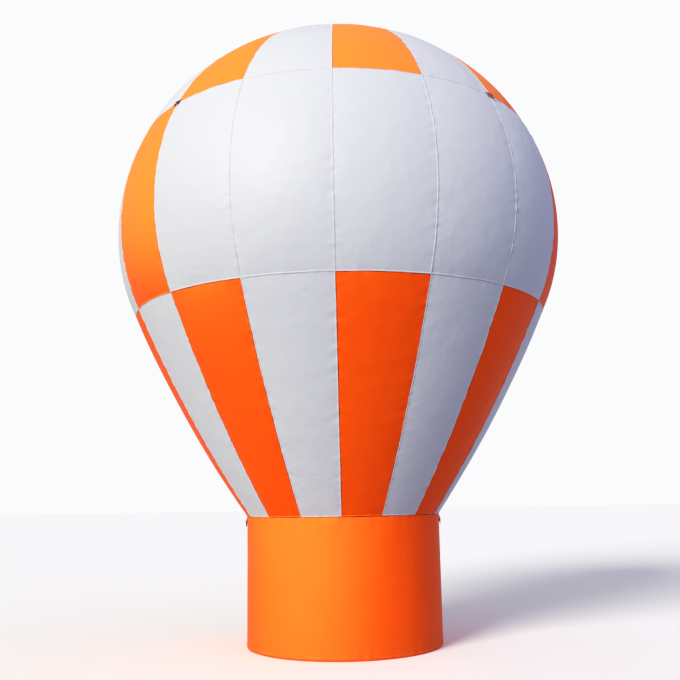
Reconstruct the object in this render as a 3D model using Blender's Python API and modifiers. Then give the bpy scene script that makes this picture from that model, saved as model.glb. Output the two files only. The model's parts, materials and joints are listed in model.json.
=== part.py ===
# Ground-standing advertising balloon, 6 m tall, kept full by a fan in its base.
# Metres, +Z up. The origin is the centre of the underside of the base's floor.
# A heading is an angle round the Z axis: 0 faces -Y, the front, and it grows towards +X.

import bpy
import bmesh
from math import asin, atan2, cos, hypot, pi, radians, sin
from mathutils import Matrix, Vector

# Driving dimensions of the envelope
TOTAL_HEIGHT = 6.0
BASE_RADIUS = 0.92
NECK_HEIGHT = 1.20
WAIST_RADIUS = 2.00
WAIST_HEIGHT = 3.10
CROWN_SEAM_RADIUS = 1.95
CROWN_SEAM_HEIGHT = 4.83
GORES = 16
SKIN = 0.010
SEAM_GAP = 0.0004
LOBE = 0.018
CAP_SHARE = 0.115

# Driving dimensions of the base, its door and its fan
WALL_FACETS = 48
FLOOR_THICKNESS = 0.010
TOUCH = 0.0003
DOOR_BOTTOM = 0.12
DOOR_HEIGHT = 0.92
DOOR_WIDTH = 0.60
DOOR_HINGE_HEADING = radians(105)
DOOR_CLEARANCE = 0.006
HEM_RADIUS = 0.006
HEM_STANDS_OUT = 0.0048
HINGE_WALL_CLEARANCE = 0.0043
HINGE_DOOR_OFFSET = 0.003
FAN_HEADING = radians(180)
FAN_HEIGHT = 0.44
DUCT_RADIUS = 0.180
DUCT_WALL = 0.008
DUCT_INNER_END = 0.600
FLANGE_RADIUS = 0.206
FLANGE_THICKNESS = 0.006
MOTOR_RADIUS = 0.055
MOTOR_START = 0.640
MOTOR_LENGTH = 0.130
SHAFT_RADIUS = 0.010
SHAFT_END = 0.828
HUB_RADIUS = 0.050
HUB_START = 0.776
HUB_LENGTH = 0.075
IMPELLER_RADIUS = 0.165
BLADES = 6
GUARD_WIRE = 0.0025
GUARD_RIM_RADIUS = 0.186
GUARD_RING_RADII = (0.075, 0.130)
GUARD_BOSS_RADIUS = 0.022
GUARD_SPOKES = 6
GLAND_HEADING = FAN_HEADING
GLAND_HEIGHT = 0.10
GLAND_BORE = 0.006
GLAND_RADIUS = 0.012
GLAND_NUT_RADIUS = 0.019
STAND_WIDTH = 0.30
SADDLE_WIDTH = 0.24
SADDLE_THICKNESS = 0.012

# Driving dimensions of the tie points
TIE_WIDTH = 0.090
TIE_LENGTH = 0.060
TIE_THICKNESS = 0.005
CROWN_TIE_LIFT = 0.0013
RING_RADIUS = 0.024
RING_WIRE = 0.004
CROWN_TIE_BOUNDARIES = (1, 5, 9, 13)
NECK_TIE_HEADINGS = (radians(-86.25), radians(86.25))
NECK_TIE_HEIGHT = 1.150

NECK = (BASE_RADIUS, NECK_HEIGHT)
WAIST = (WAIST_RADIUS, WAIST_HEIGHT)
CROWN_SEAM = (CROWN_SEAM_RADIUS, CROWN_SEAM_HEIGHT)
APEX = (0.0, TOTAL_HEIGHT)
GORE_ANGLE = 2 * pi / GORES
FRONT_BOUNDARY = 3
GORE_COLUMNS = 4

# tier: lower end, upper end, rise of the arc over its chord, used share of the arc, rings
TIERS = {
    "lower": (NECK, WAIST, 0.05, 1.0, 4),
    "upper": (WAIST, CROWN_SEAM, 0.20, 1.0, 8),
    "crown": (CROWN_SEAM, APEX, 0.32, 1.0 - CAP_SHARE, 6),
}

# upper tier panel: first gore, number of gores, cloth
UPPER_PANELS = (
    ("upper_panel_00", 0, 1, "orange"),
    ("banner_front", 1, 5, "white"),
    ("upper_panel_06", 6, 1, "orange"),
    ("upper_panel_07", 7, 1, "white"),
    ("upper_panel_08", 8, 1, "orange"),
    ("banner_back", 9, 5, "white"),
    ("upper_panel_14", 14, 1, "orange"),
    ("upper_panel_15", 15, 1, "white"),
)

# material: colour (linear), roughness, metallic
FINISHES = {
    "orange": ((0.830, 0.130, 0.012), 0.55, 0.0),
    "white": ((0.820, 0.830, 0.850), 0.55, 0.0),
    "webbing": ((0.120, 0.022, 0.012), 0.80, 0.0),
    "steel": ((0.550, 0.550, 0.560), 0.35, 1.0),
    "black_paint": ((0.020, 0.020, 0.022), 0.45, 0.0),
    "grey_plastic": ((0.180, 0.185, 0.190), 0.50, 0.0),
}

for leftover in list(bpy.data.objects):
    bpy.data.objects.remove(leftover, do_unlink=True)

balloon = bpy.data.collections.new("advertising_balloon")
cutters = bpy.data.collections.new("cutters")
bpy.context.scene.collection.children.link(balloon)
bpy.context.scene.collection.children.link(cutters)


def finish_material(name):
    """One Principled material for each finish, made when it is first asked for."""
    material = bpy.data.materials.get(name)
    if material:
        return material
    colour, roughness, metallic = FINISHES[name]
    material = bpy.data.materials.new(name)
    material.use_nodes = True
    shader = material.node_tree.nodes["Principled BSDF"]
    shader.inputs["Base Color"].default_value = (*colour, 1.0)
    shader.inputs["Roughness"].default_value = roughness
    shader.inputs["Metallic"].default_value = metallic
    return material


def add_object(name, mesh, finish):
    """Link a mesh as a named part with its own copy of a finish."""
    part = bpy.data.objects.new(name, mesh)
    material = finish_material(finish).copy()
    material.name = name + "_finish"
    mesh.materials.append(material)
    balloon.objects.link(part)
    return part


def add_bmesh(name, shape, finish, smooth=radians(35)):
    """Turn a closed bmesh into a part, its faces outwards and its round faces smooth."""
    bmesh.ops.recalc_face_normals(shape, faces=shape.faces[:])
    mesh = bpy.data.meshes.new(name)
    shape.to_mesh(mesh)
    shape.free()
    mesh.shade_smooth()
    mesh.set_sharp_from_angle(angle=smooth)
    return add_object(name, mesh, finish)


def make_cutter(part):
    """Take a part out of the balloon and keep it only for Booleans."""
    balloon.objects.unlink(part)
    cutters.objects.link(part)
    part.hide_render = True
    part.display_type = "WIRE"
    return part


def cut(part, tool, operation):
    """Cut a part by a tool, or join the tool to it."""
    step = part.modifiers.new(operation.lower() + "_" + tool.name, "BOOLEAN")
    step.operation = operation
    step.object = tool
    step.solver = "EXACT"


def join(part, pieces):
    """Join pieces to a part as one solid."""
    for piece in pieces:
        cut(part, make_cutter(piece), "UNION")


def outward(heading):
    """Level unit vector that points out of the balloon at a heading."""
    return Vector((sin(heading), -cos(heading), 0.0))


def around(radius, heading, height):
    """Point at a radius, heading and height."""
    return outward(heading) * radius + Vector((0.0, 0.0, height))


def warped_sheet(name, columns, rows, place, finish):
    """Closed solid from a grid and its copy: place(across, up, side) gives each point.

    across and up run from 0 to 1, and side is 0 on the outer face and 1 on the inner."""
    shape = bmesh.new()
    bmesh.ops.create_grid(shape, x_segments=columns, y_segments=rows, size=0.5)
    copied = bmesh.ops.extrude_face_region(shape, geom=shape.faces[:])
    inner = {item for item in copied["geom"] if isinstance(item, bmesh.types.BMVert)}
    for vertex in shape.verts:
        side = 1.0 if vertex in inner else 0.0
        vertex.co = place(vertex.co.x + 0.5, vertex.co.y + 0.5, side)
    return add_bmesh(name, shape, finish)


def arc_point(tier, share):
    """Radius, height and outward slope (two parts) at a share of a tier's arc."""
    (r_low, z_low), (r_high, z_high), rise = TIERS[tier][:3]
    chord = hypot(r_high - r_low, z_high - z_low)
    half_angle = 2 * atan2(2 * rise, chord)
    radius = chord / (2 * sin(half_angle))
    lean = atan2(z_high - z_low, r_high - r_low)
    turn = lean - pi / 2 + half_angle * (2 * share - 1)
    centre_r = (r_low + r_high) / 2 - cos(lean - pi / 2) * radius * cos(half_angle)
    centre_z = (z_low + z_high) / 2 - sin(lean - pi / 2) * radius * cos(half_angle)
    return centre_r + radius * cos(turn), centre_z + radius * sin(turn), cos(turn), sin(turn)


def arc_length(tier):
    """Length of a tier's whole arc."""
    (r_low, z_low), (r_high, z_high), rise = TIERS[tier][:3]
    chord = hypot(r_high - r_low, z_high - z_low)
    half_angle = 2 * atan2(2 * rise, chord)
    return chord * half_angle / sin(half_angle)


def puff(across, up):
    """Height of a gore's lobe above the round surface, nothing along its seams."""
    return LOBE * (4 * across * (1 - across)) ** 0.8 * (4 * up * (1 - up)) ** 0.5


def round_point(tier, heading, up, height):
    """Point at a share of a tier's used height, at a height over its round surface."""
    radius, level, out_r, out_z = arc_point(tier, up * TIERS[tier][3])
    return around(radius + out_r * height, heading, level + out_z * height)


def lobe(tier, across, up):
    """Height of the cloth over the round surface, less where the gore is narrow."""
    return puff(across, up) * arc_point(tier, up * TIERS[tier][3])[0] / WAIST_RADIUS


def boundary_heading(boundary):
    """Heading of the seam at a gore's left side."""
    return (boundary - FRONT_BOUNDARY) * GORE_ANGLE


def cloth_panel(name, tier, first, count, finish):
    """Panel of one or more gores, a hair narrower than the seams round it."""
    rings = TIERS[tier][4]
    up_gap = SEAM_GAP / 2 / arc_length(tier)

    def place(across, up, side):
        ring_up = up_gap + up * (1 - 2 * up_gap)
        radius = arc_point(tier, ring_up * TIERS[tier][3])[0]
        side_gap = asin(SEAM_GAP / 2 / radius)
        span = count * GORE_ANGLE - 2 * side_gap
        heading = boundary_heading(first) + side_gap + across * span
        in_gore = round(across * count * GORE_COLUMNS) % GORE_COLUMNS / GORE_COLUMNS
        return round_point(tier, heading, ring_up, lobe(tier, in_gore, up) - SKIN * side)

    return warped_sheet(name, count * GORE_COLUMNS, rings, place, finish)


def envelope():
    """Crown, upper and lower tiers of gore panels, and the disc that closes the top."""
    for gore in range(GORES):
        finish = "orange" if gore % 2 else "white"
        cloth_panel(f"lower_panel_{gore:02d}", "lower", gore, 1, finish)
        cloth_panel(f"crown_panel_{gore:02d}", "crown", gore, 1, finish)
    for name, first, count, finish in UPPER_PANELS:
        cloth_panel(name, "upper", first, count, finish)
    top_cap()


def turned(name, profile, steps, finish):
    """Solid turned round the Z axis from (radius, height) points, top to bottom."""
    mesh = bpy.data.meshes.new(name)
    points = [(radius, 0.0, height) for radius, height in profile]
    mesh.from_pydata(points, [(i, i + 1) for i in range(len(points) - 1)], [])
    part = add_object(name, mesh, finish)
    screw = part.modifiers.new("turn", "SCREW")
    screw.steps = steps
    screw.render_steps = steps
    screw.use_merge_vertices = True
    screw.merge_threshold = 0.0001
    screw.use_smooth_shade = True
    return part


def top_cap():
    """Round disc sewn over the tips of the crown panels."""
    rings = 3
    start = 1 - CAP_SHARE + SEAM_GAP / arc_length("crown")
    outer = []
    inner = []
    for ring in range(rings + 1):
        share = 1 - (1 - start) * ring / rings
        radius, level, out_r, out_z = arc_point("crown", share)
        on_axis = ring == 0
        outer.append((0.0 if on_axis else radius, level))
        inner.append((0.0 if on_axis else radius - SKIN * out_r, level - SKIN * out_z))
    turned("top_cap", outer + inner[::-1], 32, "orange")


def wall_panel(name, start, end):
    """Upright stretch of the base's wall between two headings."""
    facet = 2 * pi / WALL_FACETS
    columns = round((end - start) / facet)
    bottom = FLOOR_THICKNESS + TOUCH
    top = NECK_HEIGHT - SEAM_GAP

    def place(across, up, side):
        radius = BASE_RADIUS - SKIN * side
        side_gap = asin(SEAM_GAP / 2 / radius)
        heading = start + across * (end - start)
        heading += side_gap * (1 - 2 * across)
        return around(radius, heading, bottom + (top - bottom) * up)

    return warped_sheet(name, columns, 1, place, "orange")


def round_block(name, start, end, r_inner, r_outer, low, high, columns, finish):
    """Block bent round the Z axis between two headings, radii and heights."""

    def place(across, up, side):
        radius = r_outer + (r_inner - r_outer) * side
        return around(radius, start + (end - start) * across, low + (high - low) * up)

    return warped_sheet(name, columns, 1, place, finish)


def rod(name, radius, low, high, sides, finish, reach=0.0):
    """Upright round bar between two heights, at a distance along +X."""
    shape = bmesh.new()
    bmesh.ops.create_cone(
        shape, cap_ends=True, segments=sides, radius1=radius, radius2=radius, depth=high - low,
        matrix=Matrix.Translation((reach, 0.0, (low + high) / 2)),
    )
    return add_bmesh(name, shape, finish)


def box(name, low, high, finish):
    """Plain box between two corners."""
    size = [top - bottom for bottom, top in zip(low, high)]
    middle = [(top + bottom) / 2 for bottom, top in zip(low, high)]
    shape = bmesh.new()
    matrix = Matrix.Translation(middle) @ Matrix.Diagonal((*size, 1.0))
    bmesh.ops.create_cube(shape, size=1.0, matrix=matrix)
    return add_bmesh(name, shape, finish)


def torus(name, ring_radius, wire, ring_sides, wire_sides, finish):
    """Closed ring round the Z axis."""
    bpy.ops.mesh.primitive_torus_add(
        major_radius=ring_radius, minor_radius=wire,
        major_segments=ring_sides, minor_segments=wire_sides,
    )
    made = bpy.context.object
    mesh = made.data
    bpy.data.objects.remove(made)
    mesh.shade_smooth()
    return add_object(name, mesh, finish)


def door_frame_angles():
    """Headings of the doorway's two sides, as the wall is cut."""
    low = DOOR_HINGE_HEADING - HINGE_WALL_CLEARANCE / BASE_RADIUS
    high = DOOR_HINGE_HEADING + (DOOR_WIDTH + DOOR_CLEARANCE) / BASE_RADIUS
    return low, high


def base():
    """Floor, three lengths of wall, the doorway, its door and the fan's port."""
    rod("base_floor", BASE_RADIUS, 0.0, FLOOR_THICKNESS, WALL_FACETS, "orange")
    side_seam = radians(90)
    rear_seam = radians(150)
    wall_panel("base_wall_front", -side_seam, side_seam)
    door_side = wall_panel("base_wall_door_side", side_seam, rear_seam)
    fan_side = wall_panel("base_wall_fan_side", rear_seam, 2 * pi - side_seam)

    low, high = door_frame_angles()
    doorway = round_block(
        "doorway", low, high, BASE_RADIUS - 0.1, BASE_RADIUS + 0.1,
        DOOR_BOTTOM, DOOR_BOTTOM + DOOR_HEIGHT, 6, "orange",
    )
    cut(door_side, make_cutter(doorway), "DIFFERENCE")

    port = rod("port", DUCT_RADIUS + TOUCH, 0.5, 1.2, 40, "orange")
    port.matrix_world = fan_frame()
    cut(fan_side, make_cutter(port), "DIFFERENCE")
    gland_hole = rod("gland_hole", GLAND_RADIUS + TOUCH, 0.8, 1.0, 16, "orange")
    gland_hole.matrix_world = radial_frame(GLAND_HEADING, GLAND_HEIGHT)
    cut(fan_side, make_cutter(gland_hole), "DIFFERENCE")
    door()


def radial_frame(heading, height):
    """Frame whose Z axis points out of the balloon at a heading, level, at a height."""
    turn = Matrix.Rotation(heading - pi / 2, 4, "Z") @ Matrix.Rotation(pi / 2, 4, "Y")
    return Matrix.Translation((0.0, 0.0, height)) @ turn


def fan_frame():
    """Frame of the fan: its Z axis is the shaft, pointing out through the wall."""
    return radial_frame(FAN_HEADING, FAN_HEIGHT)


def door():
    """Curved door of cloth with a round hem along its hinge, origin on the hinge's axis."""
    axis = around(BASE_RADIUS + HEM_STANDS_OUT, DOOR_HINGE_HEADING, 0.0)
    start = DOOR_HINGE_HEADING + HINGE_DOOR_OFFSET / BASE_RADIUS
    end = DOOR_HINGE_HEADING + DOOR_WIDTH / BASE_RADIUS
    low = DOOR_BOTTOM + DOOR_CLEARANCE
    high = DOOR_BOTTOM + DOOR_HEIGHT - DOOR_CLEARANCE
    leaf = round_block(
        "access_door", start, end, BASE_RADIUS - SKIN, BASE_RADIUS, low, high, 6, "orange",
    )
    leaf.data.transform(Matrix.Translation(-axis))
    leaf.location = axis
    hem = rod("door_hem", HEM_RADIUS, low + 0.002, high - 0.002, 10, "orange")
    hem.location = axis
    neck = round_block(
        "door_neck", DOOR_HINGE_HEADING + 0.0012 / BASE_RADIUS,
        DOOR_HINGE_HEADING + 0.010 / BASE_RADIUS,
        BASE_RADIUS - 0.004, BASE_RADIUS + 0.004, low + 0.001, high - 0.001, 1, "orange",
    )
    join(leaf, (hem, neck))


def fan():
    """Duct through the wall, its wire guard, motor, impeller and stand."""
    frame = fan_frame()
    inner = DUCT_RADIUS - DUCT_WALL
    flange_back = BASE_RADIUS + 0.0005
    flange_front = flange_back + FLANGE_THICKNESS
    duct = turned(
        "fan_duct",
        [
            (inner, flange_front), (FLANGE_RADIUS, flange_front), (FLANGE_RADIUS, flange_back),
            (DUCT_RADIUS, flange_back), (DUCT_RADIUS, DUCT_INNER_END),
            (inner, DUCT_INNER_END), (inner, flange_front),
        ],
        40, "grey_plastic",
    )
    duct.matrix_world = frame
    guard(frame, flange_front)
    motor(frame, inner)
    impeller(frame)
    fan_stand()


def guard(frame, seat):
    """Rings of wire on the duct's flange, carried by spokes from a small boss."""
    level = seat + TOUCH + GUARD_WIRE
    rim = torus("fan_guard", GUARD_RIM_RADIUS, GUARD_WIRE, 30, 5, "steel")
    pieces = [rod("guard_boss", GUARD_BOSS_RADIUS, -0.0020, 0.0021, 18, "steel")]
    for i, radius in enumerate(GUARD_RING_RADII):
        pieces.append(torus(f"guard_ring_{i}", radius, GUARD_WIRE, 24, 5, "steel"))
    for i in range(GUARD_SPOKES):
        spoke = rod(
            f"guard_spoke_{i}", GUARD_WIRE * 0.8, GUARD_BOSS_RADIUS - 0.004, GUARD_RIM_RADIUS,
            5, "steel",
        )
        heading = i * 2 * pi / GUARD_SPOKES + radians(3)
        turn = Matrix.Rotation(heading, 4, "Z") @ Matrix.Rotation(pi / 2, 4, "Y")
        spoke.data.transform(Matrix.Translation((0.0, 0.0, TOUCH)) @ turn)
        pieces.append(spoke)
    for piece in pieces + [rim]:
        piece.data.transform(Matrix.Translation((0.0, 0.0, level)))
        piece.matrix_world = frame
    join(rim, pieces)


def motor(frame, duct_inner):
    """Motor and shaft, with three struts that hold it in the duct."""
    end = MOTOR_START + MOTOR_LENGTH
    body = turned(
        "fan_motor",
        [
            (0.0, SHAFT_END), (SHAFT_RADIUS, SHAFT_END), (SHAFT_RADIUS, end),
            (MOTOR_RADIUS, end), (MOTOR_RADIUS, MOTOR_START), (0.0, MOTOR_START),
        ],
        24, "black_paint",
    )
    struts = []
    for i in range(3):
        strut = box(
            f"motor_strut_{i}", (MOTOR_RADIUS - 0.01, -0.004, MOTOR_START + 0.02),
            (duct_inner - 0.0012, 0.004, MOTOR_START + 0.05), "black_paint",
        )
        strut.data.transform(Matrix.Rotation(i * 2 * pi / 3, 4, "Z"))
        struts.append(strut)
    for piece in struts + [body]:
        piece.matrix_world = frame
    join(body, struts)


def impeller(frame):
    """Hub with a blind bore for the shaft, and twisted blades."""
    bore = SHAFT_RADIUS + TOUCH
    front = HUB_START + HUB_LENGTH
    nose = 0.015
    hub = turned(
        "fan_impeller",
        [
            (0.0, front), (HUB_RADIUS * 0.6, front - nose * 0.25),
            (HUB_RADIUS, front - nose), (HUB_RADIUS, HUB_START), (bore, HUB_START),
            (bore, SHAFT_END + 0.002), (0.0, SHAFT_END + 0.002),
        ],
        24, "grey_plastic",
    )
    blades = []
    for i in range(BLADES):
        turn = Matrix.Rotation(i * 2 * pi / BLADES, 4, "Z")

        def place(along, over, side):
            radius = HUB_RADIUS - 0.006 + (IMPELLER_RADIUS - HUB_RADIUS + 0.006) * along
            twist = radians(42 - 18 * along)
            chord = 0.052 + 0.026 * along
            offset = (over - 0.5) * chord
            bow = 0.006 * (1 - (2 * over - 1) ** 2)
            thick = (0.5 - side) * 0.003
            swing = offset * cos(twist) + (bow + thick) * sin(twist)
            rise = -offset * sin(twist) + (bow + thick) * cos(twist)
            angle = swing / radius
            middle = HUB_START + HUB_LENGTH * 0.46
            return turn @ Vector((radius * cos(angle), radius * sin(angle), middle + rise))

        blades.append(warped_sheet(f"blade_{i}", 4, 3, place, "grey_plastic"))
    for piece in blades + [hub]:
        piece.matrix_world = frame
    join(hub, blades)


def fan_stand():
    """Foot plate and two saddles under the duct."""
    bottom = FLOOR_THICKNESS + TOUCH
    reach = (DUCT_INNER_END + 0.02, DUCT_INNER_END + 0.21)
    foot = box(
        "fan_stand", (reach[0] - 0.02, -STAND_WIDTH / 2, bottom),
        (reach[1] + SADDLE_THICKNESS + 0.02, STAND_WIDTH / 2, bottom + 0.006), "steel",
    )
    saddles = [
        box(
            f"saddle_{i}", (at, -SADDLE_WIDTH / 2, bottom + 0.003),
            (at + SADDLE_THICKNESS, SADDLE_WIDTH / 2, FAN_HEIGHT - 0.10), "steel",
        )
        for i, at in enumerate(reach)
    ]
    turn = Matrix.Rotation(FAN_HEADING - pi / 2, 4, "Z")
    for piece in saddles + [foot]:
        piece.matrix_world = turn
    join(foot, saddles)
    bore = rod("saddle_bore", DUCT_RADIUS + TOUCH, 0.5, 1.0, 40, "steel")
    bore.matrix_world = fan_frame()
    cut(foot, make_cutter(bore), "DIFFERENCE")


def cable_gland():
    """Gland for the fan's supply, through the wall near the floor."""
    nose = BASE_RADIUS + 0.022
    seat = BASE_RADIUS + 2 * TOUCH
    tail = BASE_RADIUS - 0.020
    gland = turned(
        "cable_gland",
        [
            (GLAND_BORE, nose), (GLAND_NUT_RADIUS - 0.005, nose),
            (GLAND_NUT_RADIUS, BASE_RADIUS + 0.010), (GLAND_NUT_RADIUS, seat),
            (GLAND_RADIUS, seat), (GLAND_RADIUS, tail), (GLAND_BORE, tail), (GLAND_BORE, nose),
        ],
        16, "grey_plastic",
    )
    gland.matrix_world = radial_frame(GLAND_HEADING, GLAND_HEIGHT)


def tie_ring(patch, foot, down, out):
    """Join a webbing loop and a steel-wire ring to a patch, on its outer face."""
    basis = Matrix((down.cross(out), down, out)).transposed().to_4x4()
    frame = Matrix.Translation(foot) @ basis
    loop = box(
        patch.name + "_loop", (-0.015, -0.010, -TIE_THICKNESS * 0.5),
        (0.015, 0.010, 2 * RING_WIRE + 0.003), "webbing",
    )
    ring = torus(patch.name + "_ring", RING_RADIUS, RING_WIRE, 20, 6, "steel")
    ring.data.transform(Matrix.Translation((0.0, RING_RADIUS, RING_WIRE + 0.0012)))
    for piece in (loop, ring):
        piece.matrix_world = frame
    join(patch, (loop, ring))


def crown_ties():
    """Patches across the crown seam, bent along the cloth under them."""
    up_share = TIE_LENGTH / 2 / arc_length("upper")
    rows = TIERS["upper"][4]
    for number, boundary in enumerate(CROWN_TIE_BOUNDARIES):
        heading = boundary_heading(boundary)
        _, _, out_r, out_z = arc_point("upper", 1.0)
        out = outward(heading) * out_r + Vector((0.0, 0.0, out_z))
        across_share = TIE_WIDTH / 2 / (CROWN_SEAM_RADIUS * GORE_ANGLE)

        def cell(tier, across, up, step_across, step_up):
            """Point of the flat facet that lies between a corner and the next ones."""
            columns = GORE_COLUMNS
            rings = TIERS[tier][4]
            start_up = 1.0 if step_up < 0 else 0.0
            start_across = 1.0 if step_across < 0 else 0.0
            corners = []
            for i in (0, 1):
                for j in (0, 1):
                    a = start_across + step_across * i / columns
                    b = start_up + step_up * j / rings
                    at = heading + step_across * i / columns * GORE_ANGLE
                    corners.append(round_point(tier, at, b, lobe(tier, a, b)))
            u = across * columns
            v = up * rings
            low = corners[0].lerp(corners[2], u)
            high = corners[1].lerp(corners[3], u)
            return low.lerp(high, v)

        def place(over, up, side):
            step_across = 1 if over > 0.5 else -1
            step_up = 1 if up > 0.5 else -1
            tier = "crown" if step_up > 0 else "upper"
            share = up_share * arc_length("upper") / arc_length(tier)
            share = share / TIERS[tier][3]
            point = cell(
                tier, abs(2 * over - 1) * across_share, abs(2 * up - 1) * share,
                step_across, step_up,
            )
            return point + out * (CROWN_TIE_LIFT + TIE_THICKNESS * (1 - side))

        patch = warped_sheet(f"crown_tie_{number}", 2, 2, place, "webbing")
        across = Vector((cos(heading), sin(heading), 0.0))
        down = across.cross(out)
        foot = round_point("upper", heading, 1.0, CROWN_TIE_LIFT + TIE_THICKNESS)
        tie_ring(patch, foot, down, out)


def neck_ties():
    """Patches on flat facets of the wall, just below the neck seam."""
    for number, heading in enumerate(NECK_TIE_HEADINGS):
        flat = BASE_RADIUS * cos(pi / WALL_FACETS)
        frame = radial_frame(heading, NECK_TIE_HEIGHT)
        patch = box(
            f"neck_tie_{number}", (-TIE_LENGTH / 2, -TIE_WIDTH * 0.4, flat + TOUCH),
            (TIE_LENGTH / 2, TIE_WIDTH * 0.4, flat + TOUCH + TIE_THICKNESS), "webbing",
        )
        patch.matrix_world = frame
        out = outward(heading)
        across = Vector((cos(heading), sin(heading), 0.0))
        down = across.cross(out)
        foot = around(flat + TOUCH + TIE_THICKNESS, heading, NECK_TIE_HEIGHT)
        tie_ring(patch, foot, down, out)


envelope()
base()
fan()
cable_gland()
crown_ties()
neck_ties()
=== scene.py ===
# The looks of the ground-standing advertising balloon: cloth, seams, door, fan and tie rings round its frame
import bpy
import json
from math import atan2, ceil, cos, exp, floor, hypot, pi, radians, sin
from mathutils import Matrix, Vector, noise


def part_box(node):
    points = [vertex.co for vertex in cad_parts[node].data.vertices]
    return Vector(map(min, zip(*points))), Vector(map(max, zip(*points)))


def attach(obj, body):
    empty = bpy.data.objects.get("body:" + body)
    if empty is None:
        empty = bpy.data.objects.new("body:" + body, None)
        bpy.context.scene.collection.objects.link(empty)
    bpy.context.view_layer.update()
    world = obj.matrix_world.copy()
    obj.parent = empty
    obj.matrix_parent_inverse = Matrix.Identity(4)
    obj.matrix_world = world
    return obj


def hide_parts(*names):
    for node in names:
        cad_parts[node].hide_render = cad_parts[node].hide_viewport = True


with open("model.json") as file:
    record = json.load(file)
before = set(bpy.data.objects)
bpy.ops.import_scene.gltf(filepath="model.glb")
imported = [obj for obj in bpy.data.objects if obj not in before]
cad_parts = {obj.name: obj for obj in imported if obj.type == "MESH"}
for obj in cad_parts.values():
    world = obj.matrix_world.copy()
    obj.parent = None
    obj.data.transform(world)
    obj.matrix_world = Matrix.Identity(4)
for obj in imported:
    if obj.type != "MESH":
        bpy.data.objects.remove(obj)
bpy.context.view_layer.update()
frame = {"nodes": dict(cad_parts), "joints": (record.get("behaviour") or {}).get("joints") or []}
print("frame loaded")

# Headings are angles round Z: 0 faces the front (-Y) and they grow towards +X, as the joints' frame does
envelope = {
    "gores": 16,
    "frontBoundary": 3,  # the seam that faces the front
    "columns": 30,  # faces across one gore
    "rows": {"lower": 150, "upper": 132, "crown": 138},
    "rise": {"lower": 0.05, "upper": 0.20, "crown": 0.32},  # of each tier's arc over its chord
    "lobe": 0.009,  # how far a gore stands out between its seams
    "seamFade": 0.15,  # how far from a level seam the lobes reach their height
    "pucker": 0.0052,
    "puckerReach": 0.045,
    "drift": 0.0045,  # slow waves of the cloth
}
goreAngle = 2 * pi / envelope["gores"]
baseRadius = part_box("base_floor")[1].x
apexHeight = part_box("top_cap")[1].z


def ringOfNode(node, atTop):
    # radius and height of a panel's outer edge, read from its corners
    points = [v.co for v in frame["nodes"][node].data.vertices]
    level = max(p.z for p in points) if atTop else min(p.z for p in points)
    near = [p for p in points if abs(p.z - level) < 0.0005]
    return max(hypot(p.x, p.y) for p in near), level


neck = (baseRadius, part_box("base_wall_front")[1].z)
waist = (ringOfNode("lower_panel_00", True)[0], ringOfNode("lower_panel_00", True)[1])
crownSeam = (ringOfNode("crown_panel_00", False)[0] + 0.0088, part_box("banner_front")[1].z)
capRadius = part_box("top_cap")[1].x
tierEnds = {
    "lower": (neck, waist),
    "upper": (waist, crownSeam),
    "crown": (crownSeam, (0.0, apexHeight)),
}
print("neck", neck, "waist", waist, "crown seam", crownSeam, "cap", capRadius)


def outward(heading):
    return Vector((sin(heading), -cos(heading), 0.0))


def alongWall(heading):
    return Vector((cos(heading), sin(heading), 0.0))


def around(radius, heading, height):
    return outward(heading) * radius + Vector((0.0, 0.0, height))


def tierArc(tier):
    # centre, radius, middle angle and half angle of a tier's arc
    (lowR, lowZ), (highR, highZ) = tierEnds[tier]
    chord = hypot(highR - lowR, highZ - lowZ)
    half = 2 * atan2(2 * envelope["rise"][tier], chord)
    radius = chord / (2 * sin(half))
    middle = atan2(highZ - lowZ, highR - lowR) - pi / 2
    centreR = (lowR + highR) / 2 - cos(middle) * radius * cos(half)
    centreZ = (lowZ + highZ) / 2 - sin(middle) * radius * cos(half)
    return centreR, centreZ, radius, middle, half


arcs = {tier: tierArc(tier) for tier in tierEnds}
arcLength = {tier: 2 * arcs[tier][2] * arcs[tier][4] for tier in arcs}


def arcPoint(tier, share):
    # radius, height and outward direction at a share of a tier's arc
    centreR, centreZ, radius, middle, half = arcs[tier]
    turn = middle + half * (2 * share - 1)
    return centreR + radius * cos(turn), centreZ + radius * sin(turn), cos(turn), sin(turn)


def crownShareAt(radius):
    low, high = 0.5, 1.0
    for _ in range(40):
        middle = (low + high) / 2
        if arcPoint("crown", middle)[0] > radius:
            low = middle
        else:
            high = middle
    return (low + high) / 2


usedShare = {"lower": 1.0, "upper": 1.0, "crown": crownShareAt(capRadius)}
ringNumber = {"lower": 0, "upper": 1, "crown": 2}


def boundaryHeading(boundary):
    return (boundary - envelope["frontBoundary"]) * goreAngle


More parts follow.
